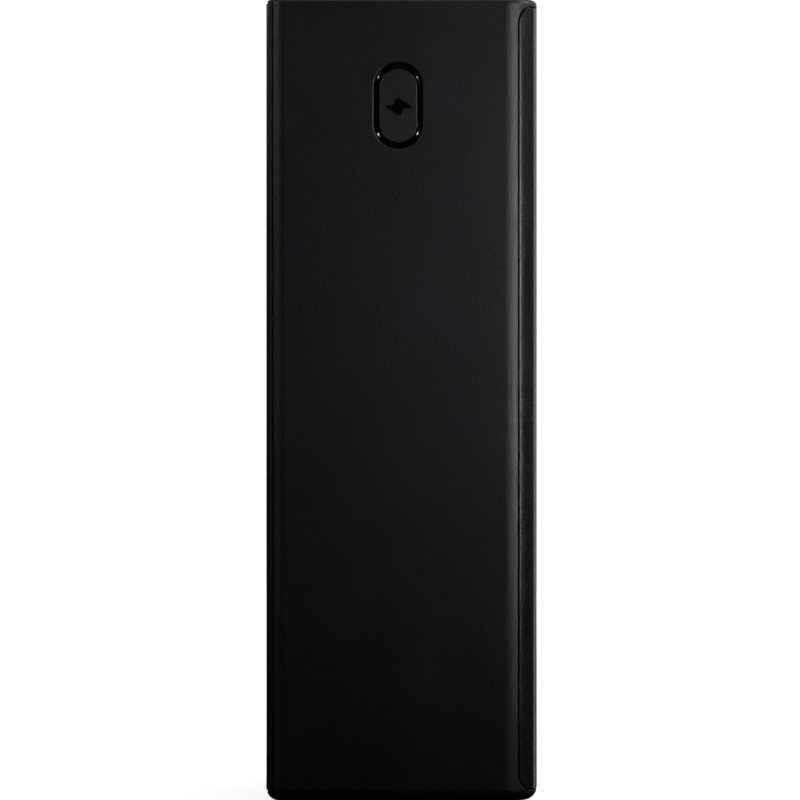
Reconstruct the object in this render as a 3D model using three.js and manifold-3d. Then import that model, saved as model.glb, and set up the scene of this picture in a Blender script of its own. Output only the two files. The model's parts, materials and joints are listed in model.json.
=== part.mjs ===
// Square-bar power bank, standing on its end.
//
// A tray-shaped housing holds six round cells in two tiers of three. The fourth corner of the
// square is left free for the boards. A front panel closes the tray on +X, a rear panel trims
// it on -X, the sockets are in the top end and the power button is in the -Y face.
//
// Millimetres, +Z up, origin at the centre of the base.

import * as THREE from "three";
import { mergeVertices } from "three/addons/utils/BufferGeometryUtils.js";
import Module from "manifold-3d";

const wasm = await Module();
wasm.setup();

// ---------------------------------------------------------------- driving dimensions

const HEIGHT = 156;
const WIDTH = 52.8; // along X, rear panel to front panel
const DEPTH = 50; // along Y, button face to plain face
const WALL = 2;
const GAP = 0.3; // clearance between neighbouring pieces

const FRONT_RADIUS = 6.4; // upright edges beside the front panel
const REAR_RADIUS = 3.8; // upright edges beside the rear panel
const TOP_FILLET = 1.05;
const BASE_FILLET = 2.5;

const CELL_DIAMETER = 21.2;
const CELL_LENGTH = 70;
const CELL_PITCH = 22.4;

// Front panel: its seam is part of the way round the front edges.
const FRONT_SEAM_X = 22.85;
const FRONT_PANEL_WALL = 1.8;
const FRONT_PANEL_LOW = 2.3;
const FRONT_PANEL_HIGH = HEIGHT - 1.7;
const FRONT_CORNER_X = 2.3;
const FRONT_CORNER_Z = 3.2;

// Rear panel: a shallow cover glued on the back of the tray.
const REAR_PANEL_DEPTH = 1.1;
const REAR_PANEL_LOW = 2;
const REAR_PANEL_HIGH = HEIGHT - 0.8;
const REAR_WALL = 1.6;

// Power button: a stadium-shaped cap in a rounded ring, on the -Y face.
const BUTTON_X = -0.66;
const BUTTON_Z = HEIGHT - 20.9;
const BEZEL_WIDTH = 8.9;
const BEZEL_HEIGHT = 16.2;
const BEZEL_DEPTH = 1.3;
const BEZEL_ROUND = 0.2;
const BEZEL_RECESS = 0.45; // the ring's crest lies this far behind the button face
const CAP_WIDTH = 7.4;
const CAP_HEIGHT = 14.4;
const CAP_RECESS = 0.2; // the cap's face lies this far behind the button face
const CAP_FLANGE = 0.8; // how far the retaining flange stands out past the cap
const FLANGE_THICKNESS = 0.6;
const NIB_RADIUS = 1.5;
const LEDGE_DEPTH = 2.6; // how deep the housing is behind the button face, round the button
const LEDGE_MARGIN = 2;

// Bolt sign inlaid in the cap. Half of its outline; the other half is the same turned by 180.
const BOLT_HALF = [
  [2.6, -0.28],
  [2.6, -0.03],
  [0.08, 1.55],
  [-0.52, 1.47],
  [-0.88, 0.2],
];
const BOLT_DROP = 0.2; // below the cap's middle
const BOLT_THICKNESS = 0.3;
const BOLT_RECESS = 0.08;
const BOLT_CLEARANCE = 0.12;

// Tact switch and its board, behind the button. Depths are measured in from the button face.
const PLUNGER_DEPTH = LEDGE_DEPTH + GAP + FLANGE_THICKNESS + 2 * GAP;
const PLUNGER_RADIUS = 1;
const PLUNGER_LENGTH = 1.1;
const SWITCH_DEPTH = PLUNGER_DEPTH + 0.5;
const SWITCH_WIDTH = 3.4;
const SWITCH_HEIGHT = 4.4;
const SWITCH_THICKNESS = 1.9;
const BUTTON_BOARD_DEPTH = SWITCH_DEPTH + SWITCH_THICKNESS + GAP;
const BUTTON_BOARD_THICKNESS = 0.8;
const BUTTON_BOARD_REACH = 8; // above and below the button's middle
const BUTTON_BOARD_RIGHT = 15;

// Sockets in the top end, in one row along X.
const PORT_PLATE_WIDTH = 44;
const PORT_PLATE_DEPTH = 13;
const PORT_PLATE_RADIUS = 3;
const PORT_PLATE_THICKNESS = 0.9;
const PORT_PLATE_RECESS = 0.2;
const PORT_BOARD_Z = 144.7;
const PORT_BOARD_THICKNESS = 1;
const SOCKET_Z = PORT_BOARD_Z + PORT_BOARD_THICKNESS + GAP;
const SOCKET_TOP = HEIGHT - 0.3;
const SOCKET_FLOOR = 0.6;
const USB_C = { width: 8.94, depth: 3.26, wall: 0.35, tongue: [6.7, 0.7, 7], offset: 0 };
const USB_A = { width: 13.1, depth: 5.7, wall: 0.3, tongue: [11.1, 1.84, 8], offset: 1.1 };
const USB_A_RADIUS = 0.6;
const USB_C_X = [-15, -2];
const USB_A_X = 13.5;

// Charge lights: four light pipes up the middle of the front panel, level with the button.
const LIGHT_COUNT = 4;
const LIGHT_PITCH = 5;
const LIGHT_RADIUS = 0.9;
const LIGHT_HOLE_RADIUS = 1.15;
const LIGHT_FLANGE_RADIUS = 1.8;
const LIGHT_FLANGE = 0.5;
const LED_SIZE = 1.6;
const LED_HEIGHT = 0.6;
const INDICATOR_BOARD_X = 21.9;
const INDICATOR_BOARD_THICKNESS = 0.7;
const INDICATOR_BOARD_MARGIN = 3; // above and below the end lights
const INDICATOR_BOARD_REACH = 7; // each way along Y

// Battery: columns of cells at three corners of a square, in two tiers.
const PACK_X = -0.4;
const COLUMN_OFFSET = CELL_PITCH / 2;
const TIER_Z = [2.8, 73.6];
const STRIP_Z = [2.3, 73.1, 143.9];
const STRIP_THICKNESS = 0.2;
const STRIP_WIDTH = 8;
const HOLDER_Z = [4, 60, 78, 110];
const HOLDER_HEIGHT = 8;
const HOLDER_SIZE = DEPTH - 2 * WALL - 2 * GAP;
const NOTCH_X = 0; // the holders leave free all that is past NOTCH_X and below NOTCH_Y
const NOTCH_Y = -0.3;
const SHEET_THICKNESS = 0.3;
const SHEET_HIGH = 142;
const SHEET_REACH_Y = -16;

// Main board, upright in the free corner, parallel to the button face.
const BOARD_LEFT = 1.4;
const BOARD_RIGHT = 21;
const BOARD_LOW = 6;
const BOARD_HIGH = 136;
const BOARD_BACK_Y = -3.4;
const BOARD_THICKNESS = 1.2;
const BOARD_FRONT_Y = BOARD_BACK_Y - BOARD_THICKNESS;
const BOARD_MIDDLE_X = (BOARD_LEFT + BOARD_RIGHT) / 2;
const SCREW_Z = [8, 114];
const POST_RADIUS = 2;
const PILOT_RADIUS = 1;

// On the button side of the main board, from the bottom up.
const COIL_SIZE = 12;
const COIL_HEIGHT = 7;
const COIL_Z = [46, 62];
const CHIP_HEIGHT = 1;
const CHARGER_CHIP = { size: 7, z: 78 };
const CONTROLLER_CHIP = { size: 6, z: 90 };
const CAPACITOR_RADIUS = 4;
const CAPACITOR_HEIGHT = 11;
const CAPACITOR_SPACING = 10;
const CAPACITOR_Z = 102;
const PAD_THICKNESS = 1.5;
const SPREADER_THICKNESS = 1;
const SPREADER_WIDTH = 16;
const SPREADER_LOW = 36;
const SPREADER_HIGH = 94;

const SCREW_HEAD_RADIUS = 1.9;
const SCREW_HEAD_HEIGHT = 1.2;
const SCREW_REACH = 1.6; // past the back of the main board

const RIBBON_WIDTH = 4;
const RIBBON_THICKNESS = 0.25;
const LIGHT_RIBBON_Y = -8;
const BUTTON_RIBBON_X = 6;

// Foam between the front column of cells and the front panel.
const FOAM_X = [22.7, 24.3];
const FOAM_Y = [4, 18];
const FOAM_Z = [
  [16, 56],
  [88, 108],
];

const SENSOR_RADIUS = 1.5;
const SENSOR_Z = 95;
const LEAD_RADIUS = 0.7;
const LEAD_REACH = 12;
const ROUND_SEGMENTS = 20;

// ---------------------------------------------------------------- materials

function finish(color, roughness, metalness = 0) {
  return new THREE.MeshStandardMaterial({ color, roughness, metalness });
}

const HOUSING_BLACK = finish(0x17171d, 0.55);
const PANEL_BLACK = finish(0x1b1a17, 0.3);
const REAR_BLACK = finish(0x141a1b, 0.5);
const GLOSS_BLACK = finish(0x050506, 0.12);
const CAP_BLACK = finish(0x15151a, 0.6);
const PLATE_BLACK = finish(0x0d0d0f, 0.35);
const LENS_WHITE = finish(0xd9dde0, 0.4);
const STEEL = finish(0xb8bbc0, 0.3, 0.9);
const NICKEL = finish(0xc7c5bd, 0.35, 0.9);
const COPPER = finish(0xb06a3c, 0.4, 0.8);
const ALUMINIUM = finish(0xa9adb2, 0.45, 0.8);
const BOARD_GREEN = finish(0x14452b, 0.5);
const CHIP_BLACK = finish(0x1c1c1e, 0.6);
const TONGUE_BLACK = finish(0x101012, 0.5);
const CELL_BLUE = finish(0x2f6f9f, 0.4);
const HOLDER_GREY = finish(0x3a3b3d, 0.7);
const FIBRE_PAPER = finish(0xcfc7ae, 0.85);
const FOAM = finish(0x2c2c2c, 0.95);
const THERMAL_PAD = finish(0x8fa6b4, 0.8);
const RIBBON = finish(0x8b5a24, 0.5);
const RED_WIRE = finish(0xa31d1d, 0.5);
const BLACK_WIRE = finish(0x151515, 0.5);
const YELLOW_WIRE = finish(0xb89a2b, 0.5);
const RESIN = finish(0x20242a, 0.4);

// ---------------------------------------------------------------- solids

// Closed three.js geometry as a manifold solid.
function solid(geometry) {
  const bare = geometry.clone();
  bare.deleteAttribute("normal");
  bare.deleteAttribute("uv");
  const merged = mergeVertices(bare, 1e-4);
  const vertProperties = new Float32Array(merged.attributes.position.array);
  const triVerts = new Uint32Array(merged.index.array);
  return new wasm.Manifold(new wasm.Mesh({ numProp: 3, vertProperties, triVerts }));
}

// Manifold solid back as a three.js geometry.
function geometryOf(body) {
  const result = body.getMesh();
  const geometry = new THREE.BufferGeometry();
  geometry.setAttribute("position", new THREE.BufferAttribute(result.vertProperties, 3));
  geometry.setIndex(new THREE.BufferAttribute(result.triVerts, 1));
  geometry.computeVertexNormals();
  return geometry;
}

function piece(name, geometry, material, position = [0, 0, 0]) {
  const mesh = new THREE.Mesh(geometry, material);
  mesh.name = name;
  mesh.position.set(...position);
  return mesh;
}

function box(low, high) {
  const size = high.map((value, axis) => value - low[axis]);
  const middle = high.map((value, axis) => (value + low[axis]) / 2);
  return new THREE.BoxGeometry(...size).translate(...middle);
}

function roundedRectangle(width, height, radius) {
  const x = width / 2 - radius;
  const y = height / 2 - radius;
  const shape = new THREE.Shape();
  shape.absarc(x, y, radius, 0, Math.PI / 2);
  shape.absarc(-x, y, radius, Math.PI / 2, Math.PI);
  shape.absarc(-x, -y, radius, Math.PI, 1.5 * Math.PI);
  shape.absarc(x, -y, radius, 1.5 * Math.PI, 2 * Math.PI);
  return shape;
}

// Upright stadium: straight sides with a half circle at each end.
function stadium(width, height) {
  const radius = width / 2;
  const y = height / 2 - radius;
  const shape = new THREE.Shape();
  shape.absarc(0, y, radius, 0, Math.PI);
  shape.absarc(0, -y, radius, Math.PI, 2 * Math.PI);
  return shape;
}

function prism(shape, low, high, curveSegments = 3) {
  const options = { depth: high - low, bevelEnabled: false, curveSegments };
  return new THREE.ExtrudeGeometry(shape, options).translate(0, 0, low);
}

// A prism behind the button face, with its outline centred on the button.
function behindFace(shape, shallow, deep, curveSegments = 5) {
  const along = prism(shape, -deep, -shallow, curveSegments).rotateX(Math.PI / 2);
  return along.translate(BUTTON_X, -DEPTH / 2, BUTTON_Z);
}

// Solid of revolution about a line through the origin along Z.
function turned(profile, segments = ROUND_SEGMENTS) {
  const points = profile.map(([radius, z]) => new THREE.Vector2(radius, z));
  return new THREE.LatheGeometry(points, segments).rotateX(Math.PI / 2);
}

function rod(radius, low, high, segments = 12) {
  return turned([[0, low], [radius, low], [radius, high], [0, high]], segments);
}

// ---------------------------------------------------------------- enclosure

// Plan outline of the bar, moved in from its surface by inset.
function barOutline(inset = 0) {
  const front = FRONT_RADIUS - inset;
  const rear = REAR_RADIUS - inset;
  const frontX = WIDTH / 2 - FRONT_RADIUS;
  const rearX = REAR_RADIUS - WIDTH / 2;
  const frontY = DEPTH / 2 - FRONT_RADIUS;
  const rearY = DEPTH / 2 - REAR_RADIUS;
  const shape = new THREE.Shape();
  shape.absarc(frontX, frontY, front, 0, Math.PI / 2);
  shape.absarc(rearX, rearY, rear, Math.PI / 2, Math.PI);
  shape.absarc(rearX, -rearY, rear, Math.PI, 1.5 * Math.PI);
  shape.absarc(frontX, -frontY, front, 1.5 * Math.PI, 2 * Math.PI);
  return shape;
}

// The bar's outline extruded from low to high, with a fillet round each end.
function filletedBar(low, high, fillet, bevelSegments) {
  const geometry = new THREE.ExtrudeGeometry(barOutline(), {
    depth: high - low - 2 * fillet,
    bevelEnabled: true,
    bevelThickness: fillet,
    bevelSize: fillet,
    bevelOffset: -fillet,
    bevelSegments,
    curveSegments: 4,
  });
  return solid(geometry.translate(0, 0, low + fillet));
}

// Outer form of the whole bar: a large fillet at the base and a small one at the top.
function outerForm() {
  const spare = 10;
  const fromBase = filletedBar(0, HEIGHT + spare, BASE_FILLET, 4);
  const fromTop = filletedBar(-spare, HEIGHT, TOP_FILLET, 2);
  return fromBase.intersect(fromTop);
}

// Everything that belongs to the front panel in X and Z, grown by a margin.
function frontRegion(margin = 0) {
  const left = FRONT_SEAM_X - margin;
  const right = WIDTH / 2 + 1;
  const low = FRONT_PANEL_LOW - margin;
  const high = FRONT_PANEL_HIGH + margin;
  const cornerX = FRONT_CORNER_X + margin;
  const cornerZ = FRONT_CORNER_Z + margin;
  const shape = new THREE.Shape();
  shape.moveTo(right, low);
  shape.lineTo(right, high);
  shape.absellipse(left + cornerX, high - cornerZ, cornerX, cornerZ, Math.PI / 2, Math.PI);
  shape.absellipse(left + cornerX, low + cornerZ, cornerX, cornerZ, Math.PI, 1.5 * Math.PI);
  shape.closePath();
  const reach = DEPTH / 2 + 1;
  return solid(prism(shape, -reach, reach, 3).rotateX(Math.PI / 2));
}

function rearRegion(margin = 0) {
  const reach = DEPTH / 2 + 1;
  const outside = -WIDTH / 2 - 1;
  const seam = -WIDTH / 2 + REAR_PANEL_DEPTH + margin;
  const low = REAR_PANEL_LOW - margin;
  const high = REAR_PANEL_HIGH + margin;
  return solid(box([outside, -reach, low], [seam, reach, high]));
}

// Space inside the tray.
function cavity() {
  const inside = solid(prism(barOutline(WALL), WALL, HEIGHT - WALL, 4));
  const rearWall = -WIDTH / 2 + REAR_PANEL_DEPTH + GAP + REAR_WALL;
  const keep = solid(box([rearWall, -DEPTH, 0], [WIDTH, DEPTH, HEIGHT]));
  return inside.intersect(keep);
}

// Seats cut in the housing for the button's ring and cap.
function buttonSeat() {
  const wide = stadium(BEZEL_WIDTH + 2 * GAP, BEZEL_HEIGHT + 2 * GAP);
  const narrow = stadium(CAP_WIDTH + 2 * GAP, CAP_HEIGHT + 2 * GAP);
  const counterbore = solid(behindFace(wide, -1, BEZEL_DEPTH + GAP));
  const through = solid(behindFace(narrow, -1, LEDGE_DEPTH + 1));
  return counterbore.add(through);
}

// Thicker wall round the button.
function buttonLedge() {
  const width = BEZEL_WIDTH + 2 * LEDGE_MARGIN;
  const height = BEZEL_HEIGHT + 2 * LEDGE_MARGIN;
  return solid(behindFace(stadium(width, height), WALL / 2, LEDGE_DEPTH));
}

// Seat cut in the top wall for the port plate, with an opening for the sockets under it.
function portSeat() {
  const ledge = 1;
  const grow = 2 * GAP;
  const seat = roundedRectangle(
    PORT_PLATE_WIDTH + grow,
    PORT_PLATE_DEPTH + grow,
    PORT_PLATE_RADIUS + GAP,
  );
  const opening = roundedRectangle(
    PORT_PLATE_WIDTH - 2 * ledge,
    PORT_PLATE_DEPTH - 2 * ledge,
    PORT_PLATE_RADIUS - ledge,
  );
  const floor = HEIGHT - PORT_PLATE_RECESS - PORT_PLATE_THICKNESS - GAP;
  const above = solid(prism(seat, floor, HEIGHT + 1));
  const through = solid(prism(opening, HEIGHT - WALL - 1, HEIGHT + 1));
  return above.add(through);
}

function housing(form) {
  let body = form.subtract(cavity()).add(buttonLedge());
  body = body.subtract(frontRegion(GAP));
  body = body.subtract(rearRegion(GAP));
  body = body.subtract(buttonSeat()).subtract(portSeat());
  return piece("housing", geometryOf(body), HOUSING_BLACK);
}

function lightHeights() {
  const lowest = BUTTON_Z - (LIGHT_PITCH * (LIGHT_COUNT - 1)) / 2;
  return Array.from({ length: LIGHT_COUNT }, (_, step) => lowest + step * LIGHT_PITCH);
}

function frontPanel(form) {
  const inside = solid(prism(barOutline(FRONT_PANEL_WALL), -1, HEIGHT + 1, 4));
  let body = form.intersect(frontRegion()).subtract(inside);
  for (const z of lightHeights()) {
    const hole = rod(LIGHT_HOLE_RADIUS, 0, 2 * FRONT_PANEL_WALL).rotateY(Math.PI / 2);
    hole.translate(WIDTH / 2 - 1.5 * FRONT_PANEL_WALL, 0, z);
    body = body.subtract(solid(hole));
  }
  return piece("front_panel", geometryOf(body), PANEL_BLACK);
}

function rearPanel(form) {
  return piece("rear_panel", geometryOf(form.intersect(rearRegion())), REAR_BLACK);
}

// ---------------------------------------------------------------- sockets

function socketOutline(socket, margin = 0) {
  const width = socket.width + 2 * margin;
  const depth = socket.depth + 2 * margin;
  const radius = socket === USB_A ? USB_A_RADIUS : socket.depth / 2;
  return roundedRectangle(width, depth, radius + margin);
}

function sockets() {
  const list = USB_C_X.map((x, index) => ({ name: `usb_c_${index + 1}`, kind: USB_C, x }));
  list.push({ name: "usb_a", kind: USB_A, x: USB_A_X });
  return list;
}

// Drawn metal shell, closed at the bottom end.
function socketShell({ name, kind, x }) {
  const outer = solid(prism(socketOutline(kind), SOCKET_Z, SOCKET_TOP));
  const bore = prism(socketOutline(kind, -kind.wall), SOCKET_Z + SOCKET_FLOOR, HEIGHT + 1);
  return piece(`${name}_shell`, geometryOf(outer.subtract(solid(bore))), STEEL, [x, 0, 0]);
}

// Plastic tongue that carries the contacts.
function socketTongue({ name, kind, x }) {
  const [width, thickness, length] = kind.tongue;
  const geometry = new THREE.BoxGeometry(width, thickness, length);
  const z = SOCKET_Z + SOCKET_FLOOR + GAP + length / 2;
  return piece(`${name}_tongue`, geometry, TONGUE_BLACK, [x, kind.offset, z]);
}

function portPlate() {
  const high = HEIGHT - PORT_PLATE_RECESS;
  const outline = roundedRectangle(PORT_PLATE_WIDTH, PORT_PLATE_DEPTH, PORT_PLATE_RADIUS);
  let body = solid(prism(outline, high - PORT_PLATE_THICKNESS, high));
  for (const { kind, x } of sockets()) {
    const hole = prism(socketOutline(kind, GAP), high - 2, high + 1).translate(x, 0, 0);
    body = body.subtract(solid(hole));
  }
  return piece("port_plate", geometryOf(body), PLATE_BLACK);
}

function portBoard() {
  const reach = DEPTH / 2 - LEDGE_DEPTH - GAP;
  const low = [PACK_X - reach, -reach, PORT_BOARD_Z];
  const high = [INDICATOR_BOARD_X - GAP, reach, PORT_BOARD_Z + PORT_BOARD_THICKNESS];
  const shape = roundedRectangle(high[0] - low[0], high[1] - low[1], 2.5);
  const middle = (high[0] + low[0]) / 2;
  return piece("port_board", prism(shape, low[2], high[2], 2), BOARD_GREEN, [middle, 0, 0]);
}

// ---------------------------------------------------------------- power button

// Rounded ring, sunk in the groove round the cap.
function buttonBezel() {
  const hollow = stadium(CAP_WIDTH + 2 * GAP, CAP_HEIGHT + 2 * GAP);
  const geometry = new THREE.ExtrudeGeometry(stadium(BEZEL_WIDTH, BEZEL_HEIGHT), {
    depth: BEZEL_DEPTH,
    bevelEnabled: true,
    bevelThickness: BEZEL_ROUND,
    bevelSize: BEZEL_ROUND,
    bevelOffset: -BEZEL_ROUND,
    bevelSegments: 2,
    curveSegments: 6,
  });
  geometry.translate(0, 0, -BEZEL_DEPTH - BEZEL_ROUND - BEZEL_RECESS);
  const ring = solid(geometry.rotateX(Math.PI / 2).translate(BUTTON_X, -DEPTH / 2, BUTTON_Z));
  const kept = solid(behindFace(stadium(2 * BEZEL_WIDTH, 2 * BEZEL_HEIGHT), -1, BEZEL_DEPTH));
  const bore = solid(behindFace(hollow, -1, LEDGE_DEPTH, 6));
  return piece("button_bezel", geometryOf(ring.intersect(kept).subtract(bore)), GLOSS_BLACK);
}

// Outline of the bolt sign, with its flat edges moved out by a margin.
function boltOutline(margin = 0) {
  const turnedHalf = BOLT_HALF.map(([x, y]) => [-x, -y]);
  const points = [...BOLT_HALF, ...turnedHalf].map(([x, y]) => {
    return new THREE.Vector2(x, y - BOLT_DROP);
  });
  if (margin === 0) return new THREE.Shape(points);
  const corners = points.map((corner, index) => {
    const before = points.at(index - 1);
    const after = points[(index + 1) % points.length];
    const incoming = corner.clone().sub(before).normalize();
    const outgoing = after.clone().sub(corner).normalize();
    const normal = new THREE.Vector2(incoming.y + outgoing.y, -incoming.x - outgoing.x);
    const reach = margin / (normal.length() / 2);
    return corner.clone().addScaledVector(normal.normalize(), Math.min(reach, 3 * margin));
  });
  return new THREE.Shape(corners);
}

function powerButton() {
  const cap = stadium(CAP_WIDTH, CAP_HEIGHT);
  const flange = stadium(CAP_WIDTH + 2 * CAP_FLANGE, CAP_HEIGHT + 2 * CAP_FLANGE);
  const flangeStart = LEDGE_DEPTH + GAP;
  const flangeEnd = flangeStart + FLANGE_THICKNESS;
  const nib = new THREE.Shape().absarc(0, 0, NIB_RADIUS, 0, 2 * Math.PI);
  let body = solid(behindFace(cap, CAP_RECESS, flangeEnd));
  body = body.add(solid(behindFace(flange, flangeStart, flangeEnd)));
  body = body.add(solid(behindFace(nib, flangeStart, flangeEnd + GAP)));
  const pocketDepth = CAP_RECESS + BOLT_RECESS + BOLT_THICKNESS + BOLT_CLEARANCE;
  const pocket = behindFace(boltOutline(BOLT_CLEARANCE), -1, pocketDepth);
  body = body.subtract(solid(pocket));
  return piece("power_button", geometryOf(body), CAP_BLACK);
}

function boltIcon() {
  const shallow = CAP_RECESS + BOLT_RECESS;
  const geometry = behindFace(boltOutline(), shallow, shallow + BOLT_THICKNESS);
  return piece("bolt_icon", geometry, GLOSS_BLACK);
}

// The switch's own plunger.
function switchPlunger() {
  const geometry = turned([
    [0, 0],
    [PLUNGER_RADIUS, 0],
    [PLUNGER_RADIUS, PLUNGER_LENGTH],
    [0, PLUNGER_LENGTH],
  ], 12);
  geometry.rotateX(-Math.PI / 2);
  return piece("switch_plunger", geometry, STEEL, [BUTTON_X, PLUNGER_DEPTH - DEPTH / 2, BUTTON_Z]);
}

function switchBody() {
  const outline = roundedRectangle(SWITCH_WIDTH, SWITCH_HEIGHT, 0.3);
  const bore = new THREE.Shape().absarc(0, 0, PLUNGER_RADIUS + GAP, 0, 2 * Math.PI);
  const floor = SWITCH_DEPTH + SWITCH_THICKNESS - GAP;
  const block = solid(behindFace(outline, SWITCH_DEPTH, SWITCH_DEPTH + SWITCH_THICKNESS, 1));
  const body = block.subtract(solid(behindFace(bore, SWITCH_DEPTH - 1, floor, 6)));
  return piece("switch_body", geometryOf(body), CHIP_BLACK);
}

// Snap dome: a shallow sprung disc between the plunger and the floor of the switch.
function switchDome() {
  const thickness = 0.1;
  const rise = 0.3;
  const geometry = turned([
    [0, rise],
    [PLUNGER_RADIUS, 0],
    [PLUNGER_RADIUS, thickness],
    [0, rise + thickness],
  ], 12);
  geometry.rotateX(Math.PI / 2);
  const depth = SWITCH_DEPTH + SWITCH_THICKNESS - GAP - 0.1;
  return piece("switch_dome", geometry, STEEL, [BUTTON_X, depth - DEPTH / 2, BUTTON_Z]);
}

function buttonBoard() {
  const y = BUTTON_BOARD_DEPTH - DEPTH / 2;
  const low = [BUTTON_X - SWITCH_WIDTH / 2 - GAP, y, BUTTON_Z - BUTTON_BOARD_REACH];
  const high = [BUTTON_BOARD_RIGHT, y + BUTTON_BOARD_THICKNESS, BUTTON_Z + BUTTON_BOARD_REACH];
  return piece("button_board", box(low, high), BOARD_GREEN);
}

// ---------------------------------------------------------------- charge lights

function lightPipe(z, index) {
  const geometry = turned([
    [0, 0],
    [LIGHT_FLANGE_RADIUS, 0],
    [LIGHT_FLANGE_RADIUS, LIGHT_FLANGE],
    [LIGHT_RADIUS, LIGHT_FLANGE],
    [LIGHT_RADIUS, LIGHT_FLANGE + GAP + FRONT_PANEL_WALL],
    [0, LIGHT_FLANGE + GAP + FRONT_PANEL_WALL],
  ], 16).rotateY(Math.PI / 2);
  const x = WIDTH / 2 - FRONT_PANEL_WALL - GAP - LIGHT_FLANGE;
  return piece(`light_pipe_${index + 1}`, geometry, LENS_WHITE, [x, 0, z]);
}

function led(z, index) {
  const geometry = new THREE.BoxGeometry(LED_HEIGHT, LED_SIZE, LED_SIZE);
  const x = INDICATOR_BOARD_X + INDICATOR_BOARD_THICKNESS + GAP + LED_HEIGHT / 2;
  return piece(`led_${index + 1}`, geometry, LENS_WHITE, [x, 0, z]);
}

function indicatorBoard() {
  const heights = lightHeights();
  const reach = INDICATOR_BOARD_REACH;
  const right = INDICATOR_BOARD_X + INDICATOR_BOARD_THICKNESS;
  const low = [INDICATOR_BOARD_X, -reach, heights[0] - INDICATOR_BOARD_MARGIN];
  const high = [right, reach, heights.at(-1) + INDICATOR_BOARD_MARGIN];
  return piece("indicator_board", box(low, high), BOARD_GREEN);
}

// ---------------------------------------------------------------- battery

// Column centres, round the corner that the boards leave to the cells.
const COLUMNS = [
  [PACK_X - COLUMN_OFFSET, -COLUMN_OFFSET],
  [PACK_X - COLUMN_OFFSET, COLUMN_OFFSET],
  [PACK_X + COLUMN_OFFSET, COLUMN_OFFSET],
];

// Can with a groove under its cap and a raised positive button.
function cellGeometry() {
  const radius = CELL_DIAMETER / 2;
  return turned([
    [0, 0],
    [radius, 0],
    [radius, CELL_LENGTH - 5],
    [radius - 0.7, CELL_LENGTH - 4.2],
    [radius, CELL_LENGTH - 3.4],
    [radius, CELL_LENGTH - 0.3],
    [4.2, CELL_LENGTH - 0.3],
    [4.2, CELL_LENGTH],
    [0, CELL_LENGTH],
  ]);
}

function cells() {
  const geometry = cellGeometry();
  return TIER_Z.flatMap((z, tier) =>
    COLUMNS.map(([x, y], column) =>
      piece(`cell_${tier * COLUMNS.length + column + 1}`, geometry, CELL_BLUE, [x, y, z]),
    ),
  );
}

// L-shaped comb round the three columns. The first and last carry a post for the main board.
function cellHolder(z, index) {
  const half = HOLDER_SIZE / 2;
  const plan = roundedRectangle(HOLDER_SIZE, HOLDER_SIZE, 2);
  let body = solid(prism(plan, z, z + HOLDER_HEIGHT, 2).translate(PACK_X, 0, 0));
  const notch = box([NOTCH_X, -half - 1, z - 1], [half + 1, NOTCH_Y, z + HOLDER_HEIGHT + 1]);
  body = body.subtract(solid(notch));
  for (const [x, y] of COLUMNS) {
    const bore = rod(CELL_DIAMETER / 2 + GAP, z - 1, z + HOLDER_HEIGHT + 1, ROUND_SEGMENTS);
    body = body.subtract(solid(bore.translate(x, y, 0)));
  }
  const screwZ = SCREW_Z.find((height) => height > z && height < z + HOLDER_HEIGHT);
  if (screwZ) {
    body = body.add(alongBoardNormal(POST_RADIUS, NOTCH_Y + 0.2, BOARD_BACK_Y + GAP, screwZ));
    body = body.subtract(alongBoardNormal(PILOT_RADIUS + GAP, -1.2, BOARD_BACK_Y - 1, screwZ));
  }
  return piece(`cell_holder_${index + 1}`, geometryOf(body), HOLDER_GREY);
}

// Rod through the middle of the main board at one height, from one Y to a lower one.
function alongBoardNormal(radius, fromY, toY, z) {
  const geometry = rod(radius, 0, fromY - toY).rotateX(Math.PI / 2);
  return solid(geometry.translate(BOARD_MIDDLE_X, fromY, z));
}

// Nickel strip that joins the three cell ends, with a tail that reaches the main board's side.
function nickelStrip(z, index) {
  const half = STRIP_WIDTH / 2;
  const [left, low] = COLUMNS[0];
  const [right, high] = COLUMNS[2];
  const tail = 2;
  const shape = new THREE.Shape();
  shape.moveTo(left - half, low - half);
  shape.lineTo(left + half, low - half);
  shape.lineTo(left + half, high - half);
  shape.lineTo(right - tail, high - half);
  shape.lineTo(right - tail, BOARD_BACK_Y + 0.4);
  shape.lineTo(right + tail, BOARD_BACK_Y + 0.4);
  shape.lineTo(right + tail, high - half);
  shape.lineTo(right + half, high - half);
  shape.lineTo(right + half, high + half);
  shape.lineTo(left - half, high + half);
  const names = ["bottom", "middle", "top"];
  return piece(`nickel_strip_${names[index]}`, prism(shape, z, z + STRIP_THICKNESS), NICKEL);
}

// Fibre paper folded round the free corner, slotted for the middle strip's tail.
function insulatingSheet() {
  const x = NOTCH_X + GAP;
  const y = NOTCH_Y - GAP;
  const shape = new THREE.Shape();
  shape.moveTo(x, SHEET_REACH_Y);
  shape.lineTo(x + SHEET_THICKNESS, SHEET_REACH_Y);
  shape.lineTo(x + SHEET_THICKNESS, y - SHEET_THICKNESS);
  shape.lineTo(BOARD_RIGHT, y - SHEET_THICKNESS);
  shape.lineTo(BOARD_RIGHT, y);
  shape.lineTo(x, y);
  let body = solid(prism(shape, HOLDER_Z[0], SHEET_HIGH));
  const slotReach = STRIP_WIDTH / 2;
  const slotX = COLUMNS[2][0];
  const low = [slotX - slotReach, y - 1, STRIP_Z[1] - GAP];
  const high = [slotX + slotReach, y + 1, STRIP_Z[1] + STRIP_THICKNESS + GAP];
  body = body.subtract(solid(box(low, high)));
  for (const z of SCREW_Z) {
    body = body.subtract(alongBoardNormal(POST_RADIUS + GAP, y + 1, y - 1, z));
  }
  return piece("insulating_sheet", geometryOf(body), FIBRE_PAPER);
}

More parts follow.
